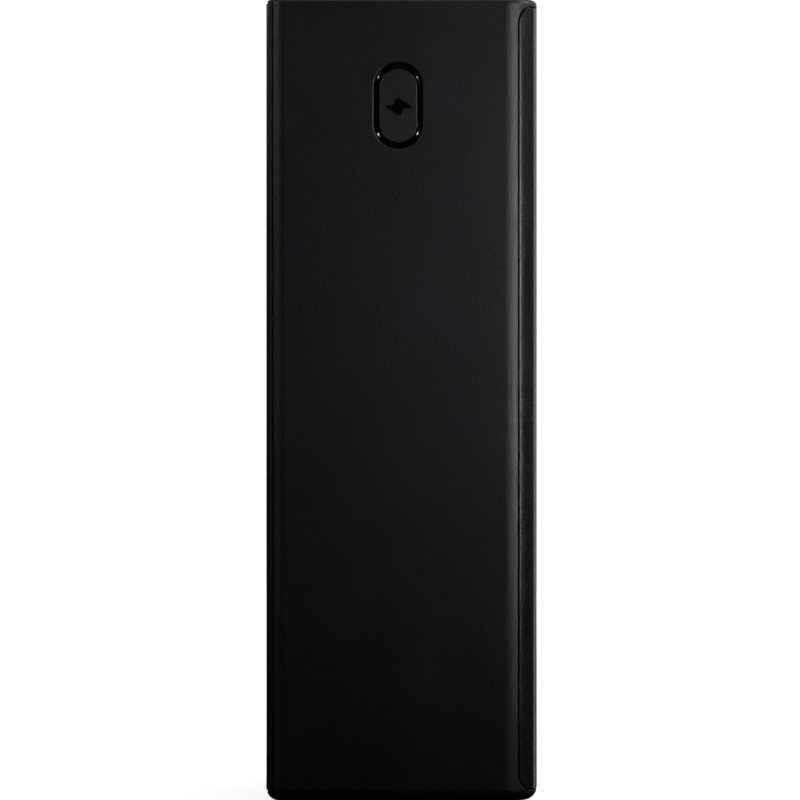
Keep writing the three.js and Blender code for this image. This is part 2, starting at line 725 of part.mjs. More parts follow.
// Short lead between a strip's tail and the main board.
function lead(name, low, high, material) {
  const y = BOARD_BACK_Y + LEAD_RADIUS + 0.5;
  return piece(name, rod(LEAD_RADIUS, low, high, 8), material, [COLUMNS[2][0], y, 0]);
}

function leads() {
  const above = STRIP_THICKNESS + GAP;
  return [
    lead("negative_lead", STRIP_Z[0] + above, SCREW_Z[0] - POST_RADIUS - GAP, BLACK_WIRE),
    lead("balance_lead", STRIP_Z[1] + above, STRIP_Z[1] + LEAD_REACH, YELLOW_WIRE),
    lead("positive_lead", BOARD_HIGH - LEAD_REACH, STRIP_Z[2] - GAP, RED_WIRE),
  ];
}

function foamPad([low, high], index) {
  const geometry = box([FOAM_X[0], FOAM_Y[0], low], [FOAM_X[1], FOAM_Y[1], high]);
  return piece(`foam_pad_${index + 1}`, geometry, FOAM);
}

// Resin bead in the space between the three columns.
function temperatureSensor() {
  const geometry = new THREE.SphereGeometry(SENSOR_RADIUS, 10, 8);
  const position = [PACK_X - SENSOR_RADIUS, SENSOR_RADIUS, SENSOR_Z];
  return piece("temperature_sensor", geometry, RESIN, position);
}

// ---------------------------------------------------------------- main board

function mainBoard() {
  const low = [BOARD_LEFT, BOARD_FRONT_Y, BOARD_LOW];
  const high = [BOARD_RIGHT, BOARD_BACK_Y, BOARD_HIGH];
  let body = solid(box(low, high));
  for (const z of SCREW_Z) {
    const hole = alongBoardNormal(PILOT_RADIUS + GAP, BOARD_BACK_Y + 1, BOARD_FRONT_Y - 1, z);
    body = body.subtract(hole);
  }
  return piece("main_board", geometryOf(body), BOARD_GREEN);
}

// Pan-head screw through the board into a holder's post.
function boardScrew(z, index) {
  const seat = BOARD_THICKNESS + GAP;
  const geometry = turned([
    [0, -SCREW_REACH],
    [PILOT_RADIUS, -SCREW_REACH],
    [PILOT_RADIUS, seat],
    [SCREW_HEAD_RADIUS, seat],
    [SCREW_HEAD_RADIUS, seat + 0.7 * SCREW_HEAD_HEIGHT],
    [SCREW_HEAD_RADIUS - 0.5, seat + SCREW_HEAD_HEIGHT],
    [0, seat + SCREW_HEAD_HEIGHT],
  ], 12).rotateX(Math.PI / 2);
  return piece(`board_screw_${index + 1}`, geometry, STEEL, [BOARD_MIDDLE_X, BOARD_BACK_Y, z]);
}

// A block on the button side of the main board.
function onBoard(name, shape, thickness, x, z, material, curveSegments = 2) {
  const geometry = prism(shape, 0, thickness, curveSegments).rotateX(Math.PI / 2);
  return piece(name, geometry, material, [x, BOARD_FRONT_Y - GAP, z]);
}

function coil(z, index) {
  const shape = roundedRectangle(COIL_SIZE, COIL_SIZE, 1.5);
  return onBoard(`power_coil_${index + 1}`, shape, COIL_HEIGHT, BOARD_MIDDLE_X, z, CHIP_BLACK);
}

function chip(name, { size, z }) {
  const shape = roundedRectangle(size, size, 0.2);
  return onBoard(name, shape, CHIP_HEIGHT, BOARD_MIDDLE_X, z, CHIP_BLACK, 1);
}

function capacitor(side, index) {
  const shape = new THREE.Shape().absarc(0, 0, CAPACITOR_RADIUS, 0, 2 * Math.PI);
  const x = BOARD_MIDDLE_X + (side * CAPACITOR_SPACING) / 2;
  return onBoard(`capacitor_${index + 1}`, shape, CAPACITOR_HEIGHT, x, CAPACITOR_Z, ALUMINIUM, 8);
}

// A plate on top of the coils, clear of them by a depth.
function overCoils(name, clearance, thickness, width, low, high, material) {
  const y = BOARD_FRONT_Y - GAP - COIL_HEIGHT - clearance;
  const x = BOARD_MIDDLE_X - width / 2;
  return piece(name, box([x, y - thickness, low], [x + width, y, high]), material);
}

function thermalPad() {
  const low = COIL_Z[0] - COIL_SIZE / 2;
  const high = COIL_Z[1] + COIL_SIZE / 2;
  return overCoils("thermal_pad", GAP, PAD_THICKNESS, COIL_SIZE, low, high, THERMAL_PAD);
}

function heatSpreader() {
  const clearance = PAD_THICKNESS + 2 * GAP;
  const span = [SPREADER_WIDTH, SPREADER_LOW, SPREADER_HIGH];
  return overCoils("heat_spreader", clearance, SPREADER_THICKNESS, ...span, ALUMINIUM);
}

// Flat flexible cable of one width, following a curve.
function ribbon(name, points, turnedAcross) {
  const flat = [RIBBON_WIDTH, RIBBON_THICKNESS];
  const size = turnedAcross ? flat.toReversed() : flat;
  const [x, y] = size.map((value) => value / 2);
  const section = new THREE.Shape();
  section.moveTo(-x, -y);
  section.lineTo(x, -y);
  section.lineTo(x, y);
  section.lineTo(-x, y);
  const extrudePath = new THREE.CatmullRomCurve3(points.map((p) => new THREE.Vector3(...p)));
  const geometry = new THREE.ExtrudeGeometry(section, { steps: 10, extrudePath });
  return piece(name, geometry, RIBBON);
}

function ribbons() {
  const lightX = INDICATOR_BOARD_X + INDICATOR_BOARD_THICKNESS / 2;
  const lightLow = lightHeights()[0] - INDICATOR_BOARD_MARGIN - GAP;
  const buttonY = BUTTON_BOARD_DEPTH + BUTTON_BOARD_THICKNESS / 2 - DEPTH / 2;
  const buttonLow = BUTTON_Z - BUTTON_BOARD_REACH - GAP;
  return [
    ribbon("light_ribbon", [
      [lightX, LIGHT_RIBBON_Y, lightLow],
      [lightX, LIGHT_RIBBON_Y, lightLow - 5],
      [lightX - 2, LIGHT_RIBBON_Y, lightLow - 9],
      [lightX - 5, LIGHT_RIBBON_Y, lightLow - 9.5],
    ], true),
    ribbon("button_ribbon", [
      [BUTTON_RIBBON_X, buttonY, buttonLow],
      [BUTTON_RIBBON_X, buttonY, buttonLow - 4],
      [BUTTON_RIBBON_X, buttonY + 4, buttonLow - 7],
      [BUTTON_RIBBON_X, buttonY + 9, buttonLow - 7.5],
    ], false),
  ];
}

// ---------------------------------------------------------------- assembly

function group(...children) {
  const result = new THREE.Group();
  result.add(...children);
  return result;
}

const form = outerForm();
const enclosure = group(housing(form), frontPanel(form), rearPanel(form), portPlate());
const ports = group(portBoard(), ...sockets().flatMap((s) => [socketShell(s), socketTongue(s)]));
const button = group(
  buttonBezel(),
  powerButton(),
  boltIcon(),
  switchPlunger(),
  switchBody(),
  switchDome(),
  buttonBoard(),
);
const lights = group(indicatorBoard(), ...lightHeights().flatMap((z, i) => [lightPipe(z, i), led(z, i)]));
const battery = group(
  ...cells(),
  ...HOLDER_Z.map(cellHolder),
  ...STRIP_Z.map(nickelStrip),
  insulatingSheet(),
  ...leads(),
  ...FOAM_Z.map(foamPad),
  temperatureSensor(),
);
const electronics = group(
  mainBoard(),
  ...SCREW_Z.map(boardScrew),
  ...COIL_Z.map(coil),
  chip("charger_chip", CHARGER_CHIP),
  chip("controller_chip", CONTROLLER_CHIP),
  ...[-1, 1].map(capacitor),
  thermalPad(),
  heatSpreader(),
  ...ribbons(),
);

export default group(enclosure, ports, button, lights, battery, electronics);
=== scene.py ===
"""Looks of the square-bar power bank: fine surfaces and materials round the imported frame.

The outer skins are made as sheets. A sheet is drawn flat, on coordinates (u, v), with its holes;
a place function then says where (u, v, depth) lies on the bar and which way is out. Every free
edge of a sheet is rounded over and carried down to the sheet's inner skin, so each piece is a
closed solid with smooth normals taken from the surface itself.
"""

import json
import math

import bmesh
import bpy
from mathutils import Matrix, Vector
from mathutils.geometry import delaunay_2d_cdt


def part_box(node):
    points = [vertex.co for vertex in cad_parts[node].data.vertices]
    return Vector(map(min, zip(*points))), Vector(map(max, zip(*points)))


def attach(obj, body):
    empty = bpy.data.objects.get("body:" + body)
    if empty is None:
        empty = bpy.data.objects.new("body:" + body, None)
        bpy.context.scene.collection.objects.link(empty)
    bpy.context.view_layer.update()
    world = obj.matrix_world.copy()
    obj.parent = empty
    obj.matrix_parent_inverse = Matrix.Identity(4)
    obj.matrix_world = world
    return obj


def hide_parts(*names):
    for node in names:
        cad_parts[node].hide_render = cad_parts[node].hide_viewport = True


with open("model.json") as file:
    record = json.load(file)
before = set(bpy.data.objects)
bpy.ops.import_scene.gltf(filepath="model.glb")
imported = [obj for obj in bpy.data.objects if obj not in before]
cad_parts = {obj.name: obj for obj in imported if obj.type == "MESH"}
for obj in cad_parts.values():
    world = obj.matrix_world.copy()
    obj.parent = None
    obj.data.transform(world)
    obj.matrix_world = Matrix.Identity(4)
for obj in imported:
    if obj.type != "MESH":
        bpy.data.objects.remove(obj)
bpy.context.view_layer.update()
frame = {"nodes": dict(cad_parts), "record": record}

MM = 0.001
QUARTER = math.pi / 2

# ---------------------------------------------------------------- sizes from the frame

HOUSING_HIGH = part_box("housing")[1]
FRONT_LOW, FRONT_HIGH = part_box("front_panel")
REAR_LOW, REAR_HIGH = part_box("rear_panel")
RING_LOW, RING_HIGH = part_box("button_bezel")
BUTTON_LOW, BUTTON_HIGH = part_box("power_button")
BOLT_LOW, BOLT_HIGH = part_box("bolt_icon")
PLATE_LOW, PLATE_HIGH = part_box("port_plate")

HEIGHT = HOUSING_HIGH.z
HALF_WIDTH = FRONT_HIGH.x
HALF_DEPTH = HOUSING_HIGH.y
BUTTON = (RING_LOW + RING_HIGH) / 2
BOLT = (BOLT_LOW + BOLT_HIGH) / 2

# Radii and margins that a box doesn't show, as in the CAD model.
FRONT_RADIUS = 6.4 * MM  # upright edges beside the front panel
REAR_RADIUS = 3.8 * MM  # upright edges beside the rear panel
TOP_FILLET = 1.05 * MM
BASE_FILLET = 2.5 * MM
GAP = 0.3 * MM  # between the housing and what is let into it
PANEL_CORNER = 3.1 * MM
REAR_CORNER = 0.5 * MM
RING_WIDTH = 0.45 * MM
RING_SLOPE = 12.5  # degrees that each half of the ring's face leans
CAP_FLANGE = 0.8 * MM  # hidden flange round the button's cap
CAP_DEPTH = 3.2 * MM
BOLT_CLEARANCE = 0.12 * MM
PLATE_CORNER = 3 * MM
SOCKET_CLEARANCE = 0.3 * MM
USB_A_CORNER = 0.6 * MM
LIGHT_HOLE = 1.15 * MM  # radius
LENS_RADIUS = 0.9 * MM

# Look of the skins.
SKIN = 1.0 * MM  # thickness of the housing's and front panel's skins
THIN_SKIN = 0.9 * MM  # thickness of the rear panel's and port plate's skins
EDGE = 0.2 * MM  # rounding of a skin's edge
SEAM_EDGE = 0.12 * MM  # rounding beside the front panel's seam
SEAT_EDGE = 0.3 * MM  # rounding of the opening round the button
CAP_EDGE = 0.2 * MM  # rounding of the button's cap
BOLT_EDGE = 0.05 * MM  # rounding of the bolt sign and of its pocket
LENS_EDGE = 0.15 * MM  # rounding of a light's lens

# Fineness of the skins.
ROUND_STEPS = 4  # facets over an edge's rounding
ARC_STEP = 0.35 * MM  # facet length round the upright edges
FLAT_STEP = 6 * MM  # spacing of points across the flats
RISE_STEP = 8 * MM  # spacing of points up the sides
RIM_MARGIN = 4 * MM  # kept free of points round the bar's ends
BUTTON_FACETS = 48  # round each outline of the button
TINY = 1e-7  # a length that is too small to matter, in metres

# Repeated pieces, by the names of their nodes.
LIGHTS = 4
USB_C = ("usb_c_1", "usb_c_2")
SOCKETS = (*USB_C, "usb_a")


# ---------------------------------------------------------------- the bar's surface

X_FRONT = HALF_WIDTH - FRONT_RADIUS
X_REAR = REAR_RADIUS - HALF_WIDTH
Y_FRONT = HALF_DEPTH - FRONT_RADIUS
Y_REAR = HALF_DEPTH - REAR_RADIUS

# Walk round the plan outline, anticlockwise from the middle of the plain face: each entry is the
# straight run before a corner, then the corner's centre, radius and first outward angle.
CORNERS = [
    (-X_REAR, (X_REAR, Y_REAR), REAR_RADIUS, QUARTER),
    (2 * Y_REAR, (X_REAR, -Y_REAR), REAR_RADIUS, 2 * QUARTER),
    (X_FRONT - X_REAR, (X_FRONT, -Y_FRONT), FRONT_RADIUS, 3 * QUARTER),
    (2 * Y_FRONT, (X_FRONT, Y_FRONT), FRONT_RADIUS, 4 * QUARTER),
]


def corner_start(index):
    """Distance round the outline at which a corner's arc begins."""
    before = sum(run + radius * QUARTER for run, _, radius, _ in CORNERS[:index])
    return before + CORNERS[index][0]


OUTLINE = corner_start(3) + FRONT_RADIUS * QUARTER + X_FRONT  # all the way round
BUTTON_FACE = corner_start(1) + REAR_RADIUS * QUARTER  # where the button face begins
FRONT_MIDDLE = corner_start(2) + FRONT_RADIUS * QUARTER + Y_FRONT
REAR_MIDDLE = corner_start(0) + REAR_RADIUS * QUARTER + Y_REAR


def plan(s):
    """Point and outward direction on the plan outline at distance s."""
    for run, (cx, cy), radius, angle in CORNERS:
        if s <= run:
            nx, ny = math.cos(angle), math.sin(angle)
            back = run - s
            return cx + radius * nx + back * ny, cy + radius * ny - back * nx, nx, ny
        s -= run
        if s <= radius * QUARTER:
            nx, ny = math.cos(angle + s / radius), math.sin(angle + s / radius)
            return cx + radius * nx, cy + radius * ny, nx, ny
        s -= radius * QUARTER
    return X_FRONT - s, HALF_DEPTH, 0.0, 1.0


BASE_ARC = BASE_FILLET * QUARTER
SIDE = HEIGHT - BASE_FILLET - TOP_FILLET
PROFILE = BASE_ARC + SIDE + TOP_FILLET * QUARTER  # from the base to the top


def profile(v):
    """Inset, height and outward direction at distance v up the side, from under the base fillet."""
    if v < BASE_ARC:
        angle = v / BASE_FILLET
        inset = BASE_FILLET * (1 - math.sin(angle))
        return inset, BASE_FILLET * (1 - math.cos(angle)), math.sin(angle), -math.cos(angle)
    v -= BASE_ARC
    if v < SIDE:
        return 0.0, BASE_FILLET + v, 1.0, 0.0
    angle = (v - SIDE) / TOP_FILLET
    inset = TOP_FILLET * (1 - math.cos(angle))
    height = HEIGHT - TOP_FILLET * (1 - math.sin(angle))
    return inset, height, math.cos(angle), math.sin(angle)


def up_to(z):
    """Distance up the side at which the surface reaches height z."""
    if z < BASE_FILLET:
        return BASE_FILLET * math.acos(1 - z / BASE_FILLET)
    if z < HEIGHT - TOP_FILLET:
        return BASE_ARC + z - BASE_FILLET
    return BASE_ARC + SIDE + TOP_FILLET * math.asin(1 - (HEIGHT - z) / TOP_FILLET)


def on_bar(u, v, depth):
    """Point and outward direction on the bar's sides, at a depth below their surface."""
    x, y, nx, ny = plan(u)
    inset, z, out, rise = profile(v)
    normal = Vector((out * nx, out * ny, rise))
    return Vector((x - inset * nx, y - inset * ny, z)) - depth * normal, normal


def on_top(u, v, depth):
    return Vector((u, v, HEIGHT - depth)), Vector((0, 0, 1))


def on_base(u, v, depth):
    return Vector((u, -v, depth)), Vector((0, 0, -1))


def on_plate(u, v, depth):
    return Vector((u, v, PLATE_HIGH.z - depth)), Vector((0, 0, 1))


def on_cap(u, v, depth):
    return Vector((BUTTON.x + u, BUTTON_LOW.y + depth, BUTTON.z + v)), Vector((0, -1, 0))


def on_bolt(u, v, depth):
    return Vector((BUTTON.x + u, BOLT_LOW.y + depth, BUTTON.z + v)), Vector((0, -1, 0))


def on_rear_wall(u, v, depth):
    return Vector((REAR_HIGH.x + GAP + depth, -u, v)), Vector((-1, 0, 0))


# ---------------------------------------------------------------- flat outlines


def steps(start, stop, size):
    """Evenly spaced values from start to stop, no further apart than size."""
    rounding_error = 1e-6
    count = max(1, math.ceil(abs(stop - start) / size - rounding_error))
    return [start + (stop - start) * i / count for i in range(count + 1)]


def arc(cx, cy, radius, start, stop, count):
    angles = [start + (stop - start) * i / count for i in range(count + 1)]
    return [(cx + radius * math.cos(a), cy + radius * math.sin(a)) for a in angles]


def rounded_rectangle(left, right, low, high, radius, count):
    """Closed outline, anticlockwise, with the same number of facets in each corner."""
    outline = arc(right - radius, high - radius, radius, 0, QUARTER, count)
    outline += arc(left + radius, high - radius, radius, QUARTER, 2 * QUARTER, count)
    outline += arc(left + radius, low + radius, radius, 2 * QUARTER, 3 * QUARTER, count)
    outline += arc(right - radius, low + radius, radius, 3 * QUARTER, 4 * QUARTER, count)
    return outline


def centred(width, height, radius, count, x=0.0, y=0.0):
    box = (x - width / 2, x + width / 2, y - height / 2, y + height / 2)
    return rounded_rectangle(*box, radius, count)


def stadium(width, height, count, x=0.0, y=0.0):
    """Closed outline with a half circle at each end of its height."""
    return centred(width, height, width / 2 - TINY, count // 2, x, y)


def circle(radius, count, x=0.0, y=0.0):
    return stadium(2 * radius, 2 * (radius + TINY), count, x, y)


def socket_outline(name, grow):
    """Outline of a socket's shell, grown by a margin."""
    low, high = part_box(f"{name}_shell")
    width, depth = high.x - low.x + 2 * grow, high.y - low.y + 2 * grow
    radius = USB_A_CORNER + grow if name == "usb_a" else depth / 2 - TINY
    return centred(width, depth, radius, 10, (low.x + high.x) / 2)


def front_outline(grow):
    """The front panel's outline on the bar, grown by a margin."""
    start = corner_start(2) + FRONT_RADIUS * math.asin((FRONT_LOW.x - X_FRONT) / FRONT_RADIUS)
    reach = FRONT_MIDDLE - start + grow
    low, high = up_to(FRONT_LOW.z) - grow, up_to(FRONT_HIGH.z) + grow
    left, right = FRONT_MIDDLE - reach, FRONT_MIDDLE + reach
    return rounded_rectangle(left, right, low, high, PANEL_CORNER + grow, 12)


def rear_outline(grow):
    """The rear panel's outline on the bar, grown by a margin."""
    turn = math.asin((X_REAR - REAR_HIGH.x) / REAR_RADIUS)
    reach = Y_REAR + REAR_RADIUS * (QUARTER - turn) + grow
    low, high = up_to(REAR_LOW.z) - grow, up_to(REAR_HIGH.z) + grow
    left, right = REAR_MIDDLE - reach, REAR_MIDDLE + reach
    return rounded_rectangle(left, right, low, high, REAR_CORNER + grow, 4)


# ---------------------------------------------------------------- sheets


def inside(point, outline):
    x, y = point
    result = False
    for (ax, ay), (bx, by) in zip(outline, outline[1:] + outline[:1]):
        if (ay > y) != (by > y) and x < ax + (bx - ax) * (y - ay) / (by - ay):
            result = not result
    return result


def triangles_between(outer, holes, points, lines):
    """Triangles that fill an outline less its holes, with extra points and lines inside it."""
    coords, edges = [], []
    for loop in [outer, *holes]:
        first = len(coords)
        coords += loop
        edges += [(first + i, first + (i + 1) % len(loop)) for i in range(len(loop))]
    for line in lines:
        first = len(coords)
        coords += line
        edges += [(first + i, first + i + 1) for i in range(len(line) - 1)]
    coords += points
    result = delaunay_2d_cdt([Vector(c) for c in coords], edges, [], 0, TINY / 10)
    flat, faces = [tuple(c) for c in result[0]], []
    for a, b, c in result[2]:
        middle = [(flat[a][k] + flat[b][k] + flat[c][k]) / 3 for k in (0, 1)]
        if inside(middle, outer) and not any(inside(middle, hole) for hole in holes):
            faces.append((a, b, c))
    return flat, faces


def boundary_chains(faces):
    """Closed chains of vertices round the faces' free edges, with the material on their left."""
    directed = {(f[i], f[(i + 1) % 3]) for f in faces for i in range(3)}
    following = {a: b for a, b in directed if (b, a) not in directed}
    chains = []
    while following:
        start = next(iter(following))
        chain = [start]
        while following[chain[-1]] != start:
            chain.append(following[chain[-1]])
        for vertex in chain:
            del following[vertex]
        chains.append(chain)
    return chains


def outward(flat, chain):
    """For each vertex of a chain, the flat step that grows the outline by one unit there."""
    sharpest = 0.3  # keeps the step short at a sharp corner
    result = []
    for i, vertex in enumerate(chain):
        here = Vector(flat[vertex])
        first = (here - Vector(flat[chain[i - 1]])).normalized()
        second = (Vector(flat[chain[(i + 1) % len(chain)]]) - here).normalized()
        normal = Vector((first.y + second.y, -first.x - second.x)).normalized()
        result.append(normal / max(sharpest, normal.dot(Vector((first.y, -first.x)))))
    return result


def rim_stations(thickness, edge):
    """Turn, depth and wear of each ring of a rim: over its outer rounding, then its inner one."""
    turns = [QUARTER * i / ROUND_STEPS for i in range(2 * ROUND_STEPS)]
    outer, inner = turns[1:ROUND_STEPS + 1], turns[ROUND_STEPS:]
    stations = [(turn, edge * (1 - math.cos(turn)), 1.0) for turn in outer]
    return stations + [(turn, thickness - edge * (1 + math.cos(turn)), 0.0) for turn in inner]


class Skin:
    """A mesh under construction, whose vertices know their normal and how exposed they are."""

    def __init__(self):
        self.bm = bmesh.new()
        self.normal = self.bm.verts.layers.float_vector.new("fine_normal")
        self.wear = self.bm.verts.layers.float.new("wear")

    def vertex(self, point, normal, wear=0.0):
        vert = self.bm.verts.new(point)
        vert[self.normal] = normal
        vert[self.wear] = wear
        return vert

    def face(self, verts):
        self.bm.faces.new(verts)

    def sheet(self, place, outer, holes=(), points=(), lines=(), thickness=SKIN, edge=EDGE):
        """A sheet with rounded free edges. Each hole comes with the rounding of its own edge.

        An edge of None leaves the sheet's frame open, where another sheet joins it.
        """
        outlines = [hole for hole, _ in holes]
        flat, faces = triangles_between(outer, outlines, list(points), list(lines))
        used = sorted({v for f in faces for v in f})
        outside, within = {}, {}
        for v in used:
            point, normal = place(*flat[v], 0.0)
            outside[v] = self.vertex(point, normal)
            within[v] = self.vertex(place(*flat[v], thickness)[0], -normal)
        for a, b, c in faces:
            self.face((outside[a], outside[b], outside[c]))
            self.face((within[c], within[b], within[a]))
        for chain in boundary_chains(faces):
            for outline, rounding in [(outer, edge), *holes]:
                first = Vector(outline[0])
                nearest = min((Vector(flat[v]) - first).length for v in chain)
                if rounding and nearest < 10 * TINY:
                    self.rim(place, flat, chain, outside, within, thickness, rounding)

    def rim(self, place, flat, chain, outside, within, thickness, edge):
        """Rounds the sheet's edge over, down its wall and under to its inner skin."""
        away = outward(flat, chain)
        rings = [[outside[v] for v in chain]]
        for station in rim_stations(thickness, edge):
            ring = []
            for v, direction in zip(chain, away):
                ring.append(self.rim_vertex(place, Vector(flat[v]), direction, edge, *station))
            rings.append(ring)
        rings.append([within[v] for v in chain])
        for upper, lower in zip(rings, rings[1:]):
            for i in range(len(chain)):
                j = (i + 1) % len(chain)
                self.face((upper[i], lower[i], lower[j], upper[j]))

    def rim_vertex(self, place, start, direction, edge, turn, depth, wear):
        """A vertex on the rounding, which has turned this far from the sheet's own normal."""
        here = start + direction * edge * math.sin(turn)
        point, normal = place(*here, depth)
        beyond = place(*(here + direction * 0.01 * MM), depth)[0]
        side = (beyond - point).normalized()
        return self.vertex(point, normal * math.cos(turn) + side * math.sin(turn), wear)

    def piece(self, name, material, body="case", replaces=(), slot=None):
        """Welds what was drawn and makes it a piece of the object."""
        bmesh.ops.remove_doubles(self.bm, verts=self.bm.verts, dist=2 * TINY)
        mesh = bpy.data.meshes.new(name)
        normals = [vert[self.normal].copy() for vert in self.bm.verts]
        self.bm.to_mesh(mesh)
        self.bm.free()
        mesh.shade_smooth()
        mesh.normals_split_custom_set_from_vertices(normals)
        settle(name, mesh, material, body, replaces, slot)


def settle(name, mesh, material, body="case", replaces=(), slot=None):
    """Links a finished mesh to the scene and the CAD body it rides on, and hides the CAD parts it
    replaces.
    """
    piece = bpy.data.objects.new(name, mesh)
    bpy.context.scene.collection.objects.link(piece)
    mesh.materials.append(material)
    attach(piece, body)
    if replaces:
        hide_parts(*replaces)


def columns():
    """Distances round the outline: close together round the corners, wide apart between."""
    values, reached = [0.0], 0.0
    for index, (_, _, radius, _) in enumerate(CORNERS):
        start = corner_start(index)
        values += steps(reached, start, FLAT_STEP)[1:]
        values += steps(start, start + radius * QUARTER, ARC_STEP)[1:]
        reached = start + radius * QUARTER
    return values + steps(reached, OUTLINE, FLAT_STEP)[1:]


def rows():
    """Distances up the side: close together over the fillets, wide apart between."""
    low = steps(0, BASE_ARC, ARC_STEP)
    middle = steps(BASE_ARC, BASE_ARC + SIDE, RISE_STEP)[1:]
    return low + middle + steps(BASE_ARC + SIDE, PROFILE, TOP_FILLET / 5)[1:]


def within_outline(outline, margin, values_u, values_v):
    """Grid lines up the bar, cut to an outline on it, and their crossing points."""
    left, right = min(p[0] for p in outline), max(p[0] for p in outline)
    low, high = min(p[1] for p in outline), max(p[1] for p in outline)
    kept_u = [u for u in values_u if left + margin < u < right - margin]
    kept_v = [v for v in values_v if low + margin < v < high - margin]
    crossings = [(u, v) for u in kept_u for v in kept_v]
    uprights = [[(u, low - MM), (u, high + MM)] for u in kept_u]
    return crossings, uprights


def end_grid(fillet):
    """Points spread over an end of the bar, clear of its rounded rim."""
    reach_x = HALF_WIDTH - 2 * fillet - RIM_MARGIN
    reach_y = HALF_DEPTH - 2 * fillet - RIM_MARGIN
    along = steps(-reach_y, reach_y, FLAT_STEP)
    return [(x, y) for x in steps(-reach_x, reach_x, FLAT_STEP) for y in along]


# ---------------------------------------------------------------- pieces of the enclosure


def side_frame(around, up):
    """Frame of the sides when they are laid flat: along the base, up, back along the top, down."""
    loop = [(u, 0.0) for u in around]
    loop += [(OUTLINE, v) for v in up[1:]]
    loop += [(u, PROFILE) for u in reversed(around[:-1])]
    return loop + [(0.0, v) for v in reversed(up[1:-1])]


def add_sides(skin, around, up):
    """The housing's four sides, open for the front panel, the rear panel and the button."""
    button_u = BUTTON_FACE + BUTTON.x - X_REAR
    seat_width = RING_HIGH.x - RING_LOW.x + 2 * (GAP + SEAT_EDGE)
    seat_height = RING_HIGH.z - RING_LOW.z + 2 * (GAP + SEAT_EDGE)
    seat = stadium(seat_width, seat_height, BUTTON_FACETS, button_u, up_to(BUTTON.z))
    holes = [
        (front_outline(GAP + SEAM_EDGE), SEAM_EDGE),
        (rear_outline(GAP + EDGE), EDGE),
        (seat, SEAT_EDGE),
    ]
    lines = [[(u, v) for v in up] for u in around[1:-1]]
    skin.sheet(on_bar, side_frame(around, up), holes, lines=lines, edge=None)


def add_top(skin, around):
    """The housing's top, open for the port plate."""
    grow = GAP + EDGE
    width, depth = PLATE_HIGH.x - PLATE_LOW.x, PLATE_HIGH.y - PLATE_LOW.y
    seat = centred(width + 2 * grow, depth + 2 * grow, PLATE_CORNER + grow, 12)
    clear_x, clear_y = width / 2 + 2 * grow, depth / 2 + 2 * grow
    points = [(x, y) for x, y in end_grid(TOP_FILLET) if abs(y) > clear_y or abs(x) > clear_x]
    rim = [on_bar(u, PROFILE, 0.0)[0] for u in around[:-1]]
    skin.sheet(on_top, [(p.x, p.y) for p in rim], [(seat, EDGE)], points=points, edge=None)


def add_base(skin, around):
    rim = [on_bar(u, 0.0, 0.0)[0] for u in around[:-1]]
    skin.sheet(on_base, [(p.x, -p.y) for p in rim], points=end_grid(BASE_FILLET), edge=None)


def make_housing(material):
    """Sides, top and base, which share the points where they meet and are welded there."""
    skin = Skin()
    around, up = columns(), rows()
    add_sides(skin, around, up)
    add_top(skin, around)
    add_base(skin, around)
    skin.piece("housing_skin", material, replaces=("housing",), slot="housing")


def make_front_panel(material):
    skin = Skin()
    outer = front_outline(-SEAM_EDGE)
    points, lines = within_outline(outer, 0.1 * MM, columns(), rows())
    holes = []
    for index in range(LIGHTS):
        low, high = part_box(f"light_pipe_{index + 1}")
        hole = circle(LIGHT_HOLE + EDGE, 24, FRONT_MIDDLE, up_to((low.z + high.z) / 2))
        holes.append((hole, EDGE))
    skin.sheet(on_bar, outer, holes, points, lines, edge=SEAM_EDGE)
    skin.piece("front_panel_skin", material, replaces=("front_panel",), slot="front_panel")


def make_rear_panel(material):
    skin = Skin()
    outer = rear_outline(-EDGE)
    points, lines = within_outline(outer, 0.1 * MM, columns(), rows())
    skin.sheet(on_bar, outer, (), points, lines, thickness=THIN_SKIN)
    skin.piece("rear_panel_skin", material, replaces=("rear_panel",), slot="rear_panel")


def make_seam_backing(material):
    """The housing's step behind the front panel's seam, and its wall behind the rear panel."""
    skin = Skin()
    thickness, edge, behind = 0.7 * MM, 0.1 * MM, SKIN + 0.05 * MM
    beyond, within = 0.5 * MM, 1.2 * MM  # how far the step reaches each side of the panel's edge
    outer, hole = front_outline(beyond), front_outline(-within)
    lines = within_outline(outer, 0.05 * MM, columns(), rows())[1]

    def below(u, v, depth):
        return on_bar(u, v, depth + behind)

    skin.sheet(below, outer, [(hole, edge)], (), lines, thickness=thickness, edge=edge)
    side, foot, head, corner = 1.4 * MM, 2 * MM, 1.2 * MM, 1 * MM  # the wall's margins and corners
    reach = HALF_DEPTH - side
    wall = rounded_rectangle(-reach, reach, foot, HEIGHT - head, corner, 4)
    skin.sheet(on_rear_wall, wall, thickness=thickness)
    skin.piece("housing_steps", material)


def make_port_plate(material):
    skin = Skin()
    holes = []
    for name in SOCKETS:
        low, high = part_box(f"{name}_shell")
        margin = 2 * (SOCKET_CLEARANCE + EDGE)
        width, depth = high.x - low.x + margin, high.y - low.y + margin
        radius = depth / 2 - TINY if name != "usb_a" else USB_A_CORNER + margin / 2
        holes.append((centred(width, depth, radius, 10, (low.x + high.x) / 2), EDGE))
    width, depth = PLATE_HIGH.x - PLATE_LOW.x, PLATE_HIGH.y - PLATE_LOW.y
    outer = centred(width - 2 * EDGE, depth - 2 * EDGE, PLATE_CORNER - EDGE, 12)
    skin.sheet(on_plate, outer, holes, thickness=THIN_SKIN)
    skin.piece("port_plate_skin", material, replaces=("port_plate",), slot="port_plate")


# ---------------------------------------------------------------- swept rings


